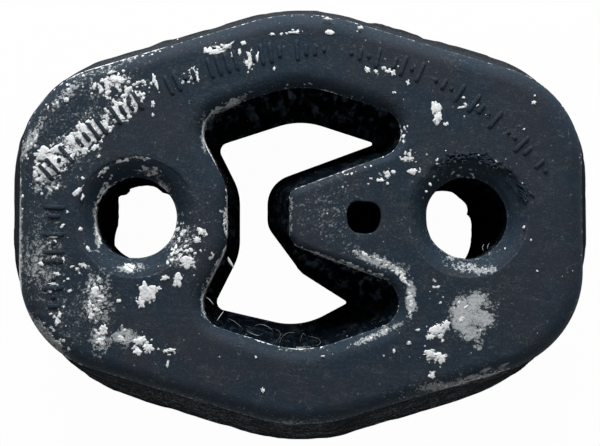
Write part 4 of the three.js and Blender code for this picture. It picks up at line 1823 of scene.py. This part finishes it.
@dataclass(frozen=True)
class Specks(Effect):
    """Effect: small round specks of dust, one at most in each cell."""

    name: Name = "dust_specks"
    takes: Ports = {"Place": VECTOR, "Pitch": FLOAT, "Amount": FLOAT}
    gives: Ports = {"Mask": FLOAT}
    least_size: float = 0.06
    size_range: float = 0.14

    def drawing(self, n: Nodes, given: Sockets) -> Sockets:
        """Round spots at some of a cell pattern's random points.

        A speck shows where the distance to the nearest point is under a size, and where the cell's own
        random colour is under Amount.

        Args:
            n: the group's nodes.
            given: its inputs by name.

        Returns:
            What to put out, by name.
        """
        cells = n.add("ShaderNodeTexVoronoi", {"Vector": given["Place"], "Scale": given["Pitch"]})
        split = n.add("ShaderNodeSeparateColor", {0: cells.outputs["Color"]})
        size = n.maths("MULTIPLY_ADD", split.outputs[1], self.size_range, self.least_size)
        near = n.maths("LESS_THAN", cells.outputs["Distance"], size)
        chosen = n.maths("LESS_THAN", split.outputs[0], given["Amount"])
        return {"Mask": n.times(near, chosen)}


@dataclass(frozen=True)
class FineLines(Effect):
    """Effect: hair-thin lines, straight where the place is drawn out and curly where it isn't."""

    name: Name = "fine_lines"
    takes: Ports = {"Drawn": VECTOR, "Place": VECTOR, "Amount": FLOAT}
    gives: Ports = {"Mask": FLOAT}
    width: float = 0.014
    left: Pair = (0.98, 1.12)

    def drawing(self, n: Nodes, given: Sockets) -> Sockets:
        """A noise's thin ridges, of which a second, broad noise leaves only some.

        Args:
            n: the group's nodes.
            given: its inputs by name.

        Returns:
            What to put out, by name.
        """
        some = n.maths("ADD", n.noise(given["Place"], 0.45, 2), given["Amount"])
        line = n.ridge(given["Drawn"], 1.0, 3, self.width)
        return {"Mask": n.times(line, n.ramp(some, *self.left))}


@dataclass(frozen=True)
class Abrasion(Effect):
    """Effect: fine grey wear, denser where the amount is higher and on rubbed edges; painted light where the
    amount is raised to lift the tone.
    """

    name: Name = "grey_abrasion"
    takes: Ports = {"Place": VECTOR, "Dragged": VECTOR, "Amount": FLOAT, "Edge": FLOAT}
    gives: Ports = {"Film": FLOAT, "Flecks": FLOAT}
    film: Pair = (1.18, 1.5)
    flecks: Pair = (1.33, 1.42)

    def drawing(self, n: Nodes, given: Sockets) -> Sockets:
        """A soft film, and crisp flecks on the parts of it that are rubbed most.

        Three fractals, the last on the drawn-out place, are added to the amount. The sum passes a soft
        threshold for the film and a higher, sharper one for the flecks.

        Args:
            n: the group's nodes.
            given: its inputs by name.

        Returns:
            What to put out, by name.
        """
        total = n.total(
            (n.noise(given["Place"], 3.4, 2, 0.55), 1.0),
            (n.noise(given["Place"], 1.2, 3, 0.6), 0.6),
            (n.noise(given["Dragged"], 1.0, 3, 0.6), 0.4),
            (given["Amount"], 0.26),
            (given["Edge"], 0.2),
        )
        return {"Film": n.ramp(total, *self.film), "Flecks": n.ramp(total, *self.flecks)}


@dataclass(frozen=True)
class WornRubber(Effect):
    """Effect: blue-black rubber, mottled, rubbed, scuffed and chalky, with painted sheen and fill streaks, by
    what the mesh says of each place.
    """

    name: Name = "worn_rubber"
    takes: Ports = (
        dict.fromkeys(("Place", "Drag"), VECTOR)
        | dict.fromkeys((name.title() for name in EFFECT_NAMES), FLOAT)
        | dict.fromkeys(("Cool", "Warm", "Worn"), COLOUR)
        | dict.fromkeys(("Grain", "Streak", "Wear", "Lines", "Gloss"), FLOAT)
    )
    gives: Ports = {"Colour": COLOUR, "Roughness": FLOAT, "Height": FLOAT}
    haze: Colour = (0.115, 0.13, 0.142, 1)
    scuff: Colour = (0.25, 0.275, 0.285, 1)
    lace: Colour = (0.6, 0.63, 0.645, 1)
    scratches: tuple[Pair, ...] = ((0.25, 0.5), (-1.1, 0.44), (0.9, 0.42))  # turn in radians, amount
    scratch_draw: tuple[float, ...] = (0.26, 2.2, 1.0)

    def drawing(self, n: Nodes, given: Sockets) -> Sockets:
        """The rubber's colour, roughness and height.

        Broad mottling blends the cool colour with the warm one, and a fine grain and drawn-out streaks
        blend in the third colour: real grain and streaks on the face, and on the walls streaks that are
        partly scuffs and partly painted sheen and fill light. Grey wear, partly painted light where it lifts
        the tone, rubbed edges, scratches, the lacy film and at last the chalk lie over it in that order. The
        chalk is the crust, the specks, and a line along chalky creases.

        Args:
            n: the group's nodes.
            given: its inputs by name.

        Returns:
            What to put out, by name.
        """
        place, crease = given["Place"], given["Crease"]
        dragged = n.drawn(place, given["Drag"])
        grain = n.noise(place, 4.6, 4, 0.7)
        flat = n.maths("SUBTRACT", 1.0, given["Roll"])
        broad = n.times(n.ramp(n.noise(place, 0.12, 4, 0.6), 0.4, 0.62), flat)
        base = n.blend(broad, given["Cool"], given["Warm"])
        grained = n.times(n.ramp(grain, 0.5, 0.7), given["Grain"])
        base = n.blend(grained, base, given["Worn"])
        # Streaks of the third colour: on the inner walls a painted bluish sheen along the flutes, and on the
        # side
        # walls partly scuffs and partly painted fill light, strongest on walls turned away from the lamp.
        streak = n.ramp(n.noise(dragged, 1.0, 2, 0.5), 0.5, 0.66)
        banded = n.times(given["Streak"], given["Bands"])
        banded = n.times(banded, n.ramp(n.noise(place, 0.3, 3, 0.6), 0.36, 0.62))
        base = n.blend(n.times(streak, banded), base, given["Worn"])
        # Grey film and flecks of wear; where their amount lifts the face's tone they are painted light.
        wear = n.use(Abrasion(), Place=place, Dragged=dragged, Amount=given["Abrasion"], Edge=crease)
        base = n.blend(n.times(wear["Film"], given["Wear"]), base, self.haze)
        base = n.blend(n.times(wear["Flecks"], given["Wear"]), base, self.scuff)
        patchy = n.ramp(n.noise(place, 1.1, 3, 0.6), 0.45, 0.64)
        rubbed = n.times(patchy, n.ramp(crease, 0.3, 0.9))
        base = n.blend(n.times(rubbed, 0.5), base, self.scuff)
        scratch = n.times(self._scratches(n, place), given["Lines"])
        base = n.blend(scratch, base, self.haze)
        film = n.use(LacyFilm(), Place=place, Cover=given["Film"])["Mask"]
        thick = n.total((n.noise(place, 3.0, 3, 0.65), 1.0), (given["Film"], 0.35))
        filmy = n.blend(n.ramp(thick, 0.55, 0.85), self.scuff, self.lace)
        base = n.blend(n.times(film, 0.88), base, filmy)
        crust = n.use(ChalkCrust(), Place=place, Cover=given["Deposit"], Edge=crease)
        base = n.blend(n.times(crust["Haze"], 0.5), base, self.haze)
        dust = n.total((given["Abrasion"], 0.07), (given["Deposit"], 0.45))
        specks = n.use(Specks(), Place=place, Pitch=1.5, Amount=dust)["Mask"]
        lined = n.total((given["Deposit"], 0.4), (n.noise(place, 1.3, 3, 0.6), 1.3))
        line = n.times(n.ramp(crease, 0.25, 0.8), n.ramp(lined, 0.8, 0.92))
        thin = n.times(n.maths("MAXIMUM", specks, line), 0.7)
        white = n.maths("MAXIMUM", crust["Crust"], thin)
        rough = n.maths("MULTIPLY_ADD", grain, 0.3, n.maths("SUBTRACT", 0.85, given["Gloss"]))
        lumps = n.noise(place, 1.3, 4, 0.6)
        height = n.total((grain, 0.5), (lumps, 0.4), (crust["Height"], 0.7), (film, 0.12), (scratch, -0.4))
        return {
            "Colour": n.blend(white, base, n.use(ChalkTone(), Place=place)["Colour"]),
            "Roughness": n.maths("MAXIMUM", rough, n.times(white, 0.95)),
            "Height": height,
        }

    def _scratches(self, n: Nodes, place: Socket) -> Socket:
        """Scratches in three directions.

        Args:
            n: the group's nodes.
            place: the place in millimetres.

        Returns:
            1 on a scratch and 0 elsewhere.
        """
        masks = []
        for turn, amount in self.scratches:
            drawn = n.drawn(n.turned(place, turn), self.scratch_draw)
            masks.append(n.use(FineLines(), Drawn=drawn, Place=place, Amount=amount)["Mask"])
        return n.maths("MAXIMUM", n.maths("MAXIMUM", *masks[:2]), masks[2])


@dataclass(frozen=True)
class RubberFinish:
    """Finish: the rubber on one kind of surface.

    drag draws out the wear's pattern: a small value lengthens it along that axis. grain, streak, wear and
    lines are the strengths of the fine grain, the drawn-out streaks, the grey wear and the scratches. The
    third colour tints the grain and the streaks. On the side and inner walls its streaks are painted fill
    light and sheen, with some real scuffs on the side walls.
    """

    name: str
    cool: Colour
    warm: Colour
    worn: Colour
    drag: tuple[float, float, float]
    specular: float
    gloss: float
    grain: float
    streak: float
    wear: float
    lines: float
    relief: float
    relief_height: float = 0.13
    sheen: Colour = (0.72, 0.9, 1.0, 1)

    def material(self) -> bpy.types.Material:
        """Builds the material once.

        Returns:
            The material, which reads the mesh's attributes of EFFECT_NAMES.
        """
        if self.name in bpy.data.materials:
            return bpy.data.materials[self.name]
        material, n, shader = new_material(self.name)
        shader.inputs["Specular IOR Level"].default_value = self.specular
        shader.inputs["Specular Tint"].default_value = self.sheen
        own = ("drag", "cool", "warm", "worn", "grain", "streak", "wear", "lines", "gloss")
        given = {key.title(): n.attribute(key) for key in EFFECT_NAMES}
        given |= {key.title(): getattr(self, key) for key in own}
        worn = n.use(WornRubber(), Place=n.millimetres(), **given)
        n.feed(shader.inputs["Base Color"], worn["Colour"])
        n.feed(shader.inputs["Roughness"], worn["Roughness"])
        n.feed(shader.inputs["Normal"], n.bump(worn["Height"], self.relief_height, self.relief))
        return material


FACE_RUBBER = RubberFinish(
    name="face_rubber",
    cool=(0.0155, 0.0275, 0.042, 1),
    warm=(0.025, 0.029, 0.04, 1),
    worn=(0.06, 0.075, 0.092, 1),
    drag=(0.45, 1.6, 1.0),
    specular=0.1,
    gloss=0.44,
    grain=0.75,
    streak=0.26,
    wear=0.8,
    lines=0.85,
    relief=0.9,
)
# Outer side walls. Their lighter grey streaks are partly scuffs and partly painted fill light on the walls
# turned away from the lamp.
SIDE_RUBBER = RubberFinish(
    name="side_rubber",
    cool=(0.024, 0.028, 0.034, 1),
    warm=(0.028, 0.03, 0.034, 1),
    worn=(0.17, 0.185, 0.205, 1),
    drag=(0.22, 0.22, 2.4),
    specular=0.0,
    gloss=0.3,
    grain=0.3,
    streak=0.5,
    wear=1.0,
    lines=0.6,
    relief=0.9,
)
# Inner walls of the opening, the bores and the core hole. Their near-black base colour and missing specular
# are painted shade over the darker, unweathered skin, as these walls lie in shade. Their third colour is a
# painted bluish sheen, which the streaks lay along the flutes.
INNER_RUBBER = RubberFinish(
    name="inner_rubber",
    cool=(0.002, 0.004, 0.007, 1),
    warm=(0.002, 0.003, 0.005, 1),
    worn=(0.17, 0.24, 0.32, 1),
    drag=(0.95, 0.95, 0.035),
    specular=0.0,
    gloss=0.55,
    grain=0.04,
    streak=0.8,
    wear=0.25,
    lines=0.6,
    relief=0.8,
)


@dataclass(frozen=True)
class ChalkFinish:
    """Finish: dry chalk."""

    name: str = "dry_chalk"
    roughness: float = 0.95
    specular: float = 0.15
    relief: float = 0.7
    relief_height: float = 0.1

    def material(self) -> bpy.types.Material:
        """Builds the material.

        Returns:
            The material.
        """
        material, n, shader = new_material(self.name)
        place = n.millimetres()
        n.feed(shader.inputs["Base Color"], n.use(ChalkTone(), Place=place)["Colour"])
        shader.inputs["Roughness"].default_value = self.roughness
        shader.inputs["Specular IOR Level"].default_value = self.specular
        lumps = n.noise(place, 3.0, 4, 0.65)
        n.feed(shader.inputs["Normal"], n.bump(lumps, self.relief_height, self.relief))
        return material


@dataclass(frozen=True)
class FibreFinish:
    """Finish: pale dry fibre."""

    name: str = "pale_fibre"
    colour: Colour = (0.62, 0.64, 0.65, 1)
    roughness: float = 0.8

    def material(self) -> bpy.types.Material:
        """Builds the material.

        Returns:
            The material.
        """
        material, _, shader = new_material(self.name)
        shader.inputs["Base Color"].default_value = self.colour
        shader.inputs["Roughness"].default_value = self.roughness
        return material


@dataclass(frozen=True)
class PaleFloor:
    """Finish: the plain pale floor, white to the camera, with the object's shadow kept."""

    name: str = "pale_floor"
    colour: Colour = (0.82, 0.82, 0.82, 1)
    shown_share: float = 0.98

    def material(self) -> bpy.types.Material:
        """A diffuse floor that the camera and reflections see mostly as plain white.

        Returns:
            The material.
        """
        material, n, _ = new_material(self.name)
        n.tree.nodes.clear()
        matt = n.add("ShaderNodeBsdfDiffuse", {"Color": self.colour}).outputs[0]
        glow = n.add("ShaderNodeEmission", {"Color": WHITE}).outputs[0]
        shown = n.times(n.background_rays(), self.shown_share)
        mix = n.add("ShaderNodeMixShader", {0: shown, 1: matt, 2: glow})
        n.add("ShaderNodeOutputMaterial", {"Surface": mix.outputs[0]})
        return material


@dataclass
class Studio:
    """The floor, the world and the soft lamp that stands beyond the object's upper arm."""

    floor_half: float = 2.0
    key_power: float = 1.85
    key_size: float = 0.22
    key_place: tuple[float, float, float] = (-0.02, 0.3, 0.17)
    key_aim: tuple[float, float, float] = (0, 0, 0.03)
    world_strength: float = 0.13
    floor_gap: float = 0.00002

    def build(self) -> None:
        """Makes the floor, the world and the lamp."""
        h, z = self.floor_half, -self.floor_gap
        mesh = bpy.data.meshes.new("floor")
        mesh.from_pydata([(-h, -h, z), (h, -h, z), (h, h, z), (-h, h, z)], [], [(0, 1, 2, 3)])
        floor = bpy.data.objects.new("floor", mesh)
        mesh.materials.append(PaleFloor().material())
        bpy.context.scene.collection.objects.link(floor)
        self._world()
        lamp = bpy.data.lights.new("key", "AREA")
        lamp.energy, lamp.size = self.key_power, self.key_size
        key = bpy.data.objects.new("key", lamp)
        key.location = self.key_place
        aim = Vector(self.key_aim) - key.location
        key.rotation_euler = looking(aim, Vector((0, 1, 0))).to_euler()
        bpy.context.scene.collection.objects.link(key)

    def _world(self) -> None:
        """A soft white world that the camera and reflections see as plain white."""
        world = bpy.data.worlds.new("studio")
        world.use_nodes = True
        bpy.context.scene.world = world
        n = Nodes(world.node_tree)
        background = world.node_tree.nodes["Background"]
        background.inputs["Color"].default_value = WHITE
        dim = self.world_strength
        strength = n.maths("MULTIPLY_ADD", n.background_rays(), 1 - dim, dim)
        n.feed(background.inputs["Strength"], strength)


def main() -> None:
    """Builds the camera, the rubber with what lies on it, and the studio, and reports each piece."""
    logging.basicConfig(level=logging.INFO, format="%(name)s: %(message)s")
    bpy.context.scene.view_settings.view_transform = "Standard"
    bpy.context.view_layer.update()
    viewpoint = Viewpoint()
    viewpoint.camera()
    moulding = Moulding(viewpoint)
    marks, flakes = MouldMarks(viewpoint, moulding), ChalkFlakes(viewpoint, moulding)
    for part in (moulding, marks, flakes, RimCrumbs(moulding), Fibres(viewpoint, moulding)):
        piece = part.build()
        mesh = piece.data
        log.info("%s: %d vertices, %d faces", piece.name, len(mesh.vertices), len(mesh.polygons))
    Studio().build()


if __name__ == "__main__":
    main()
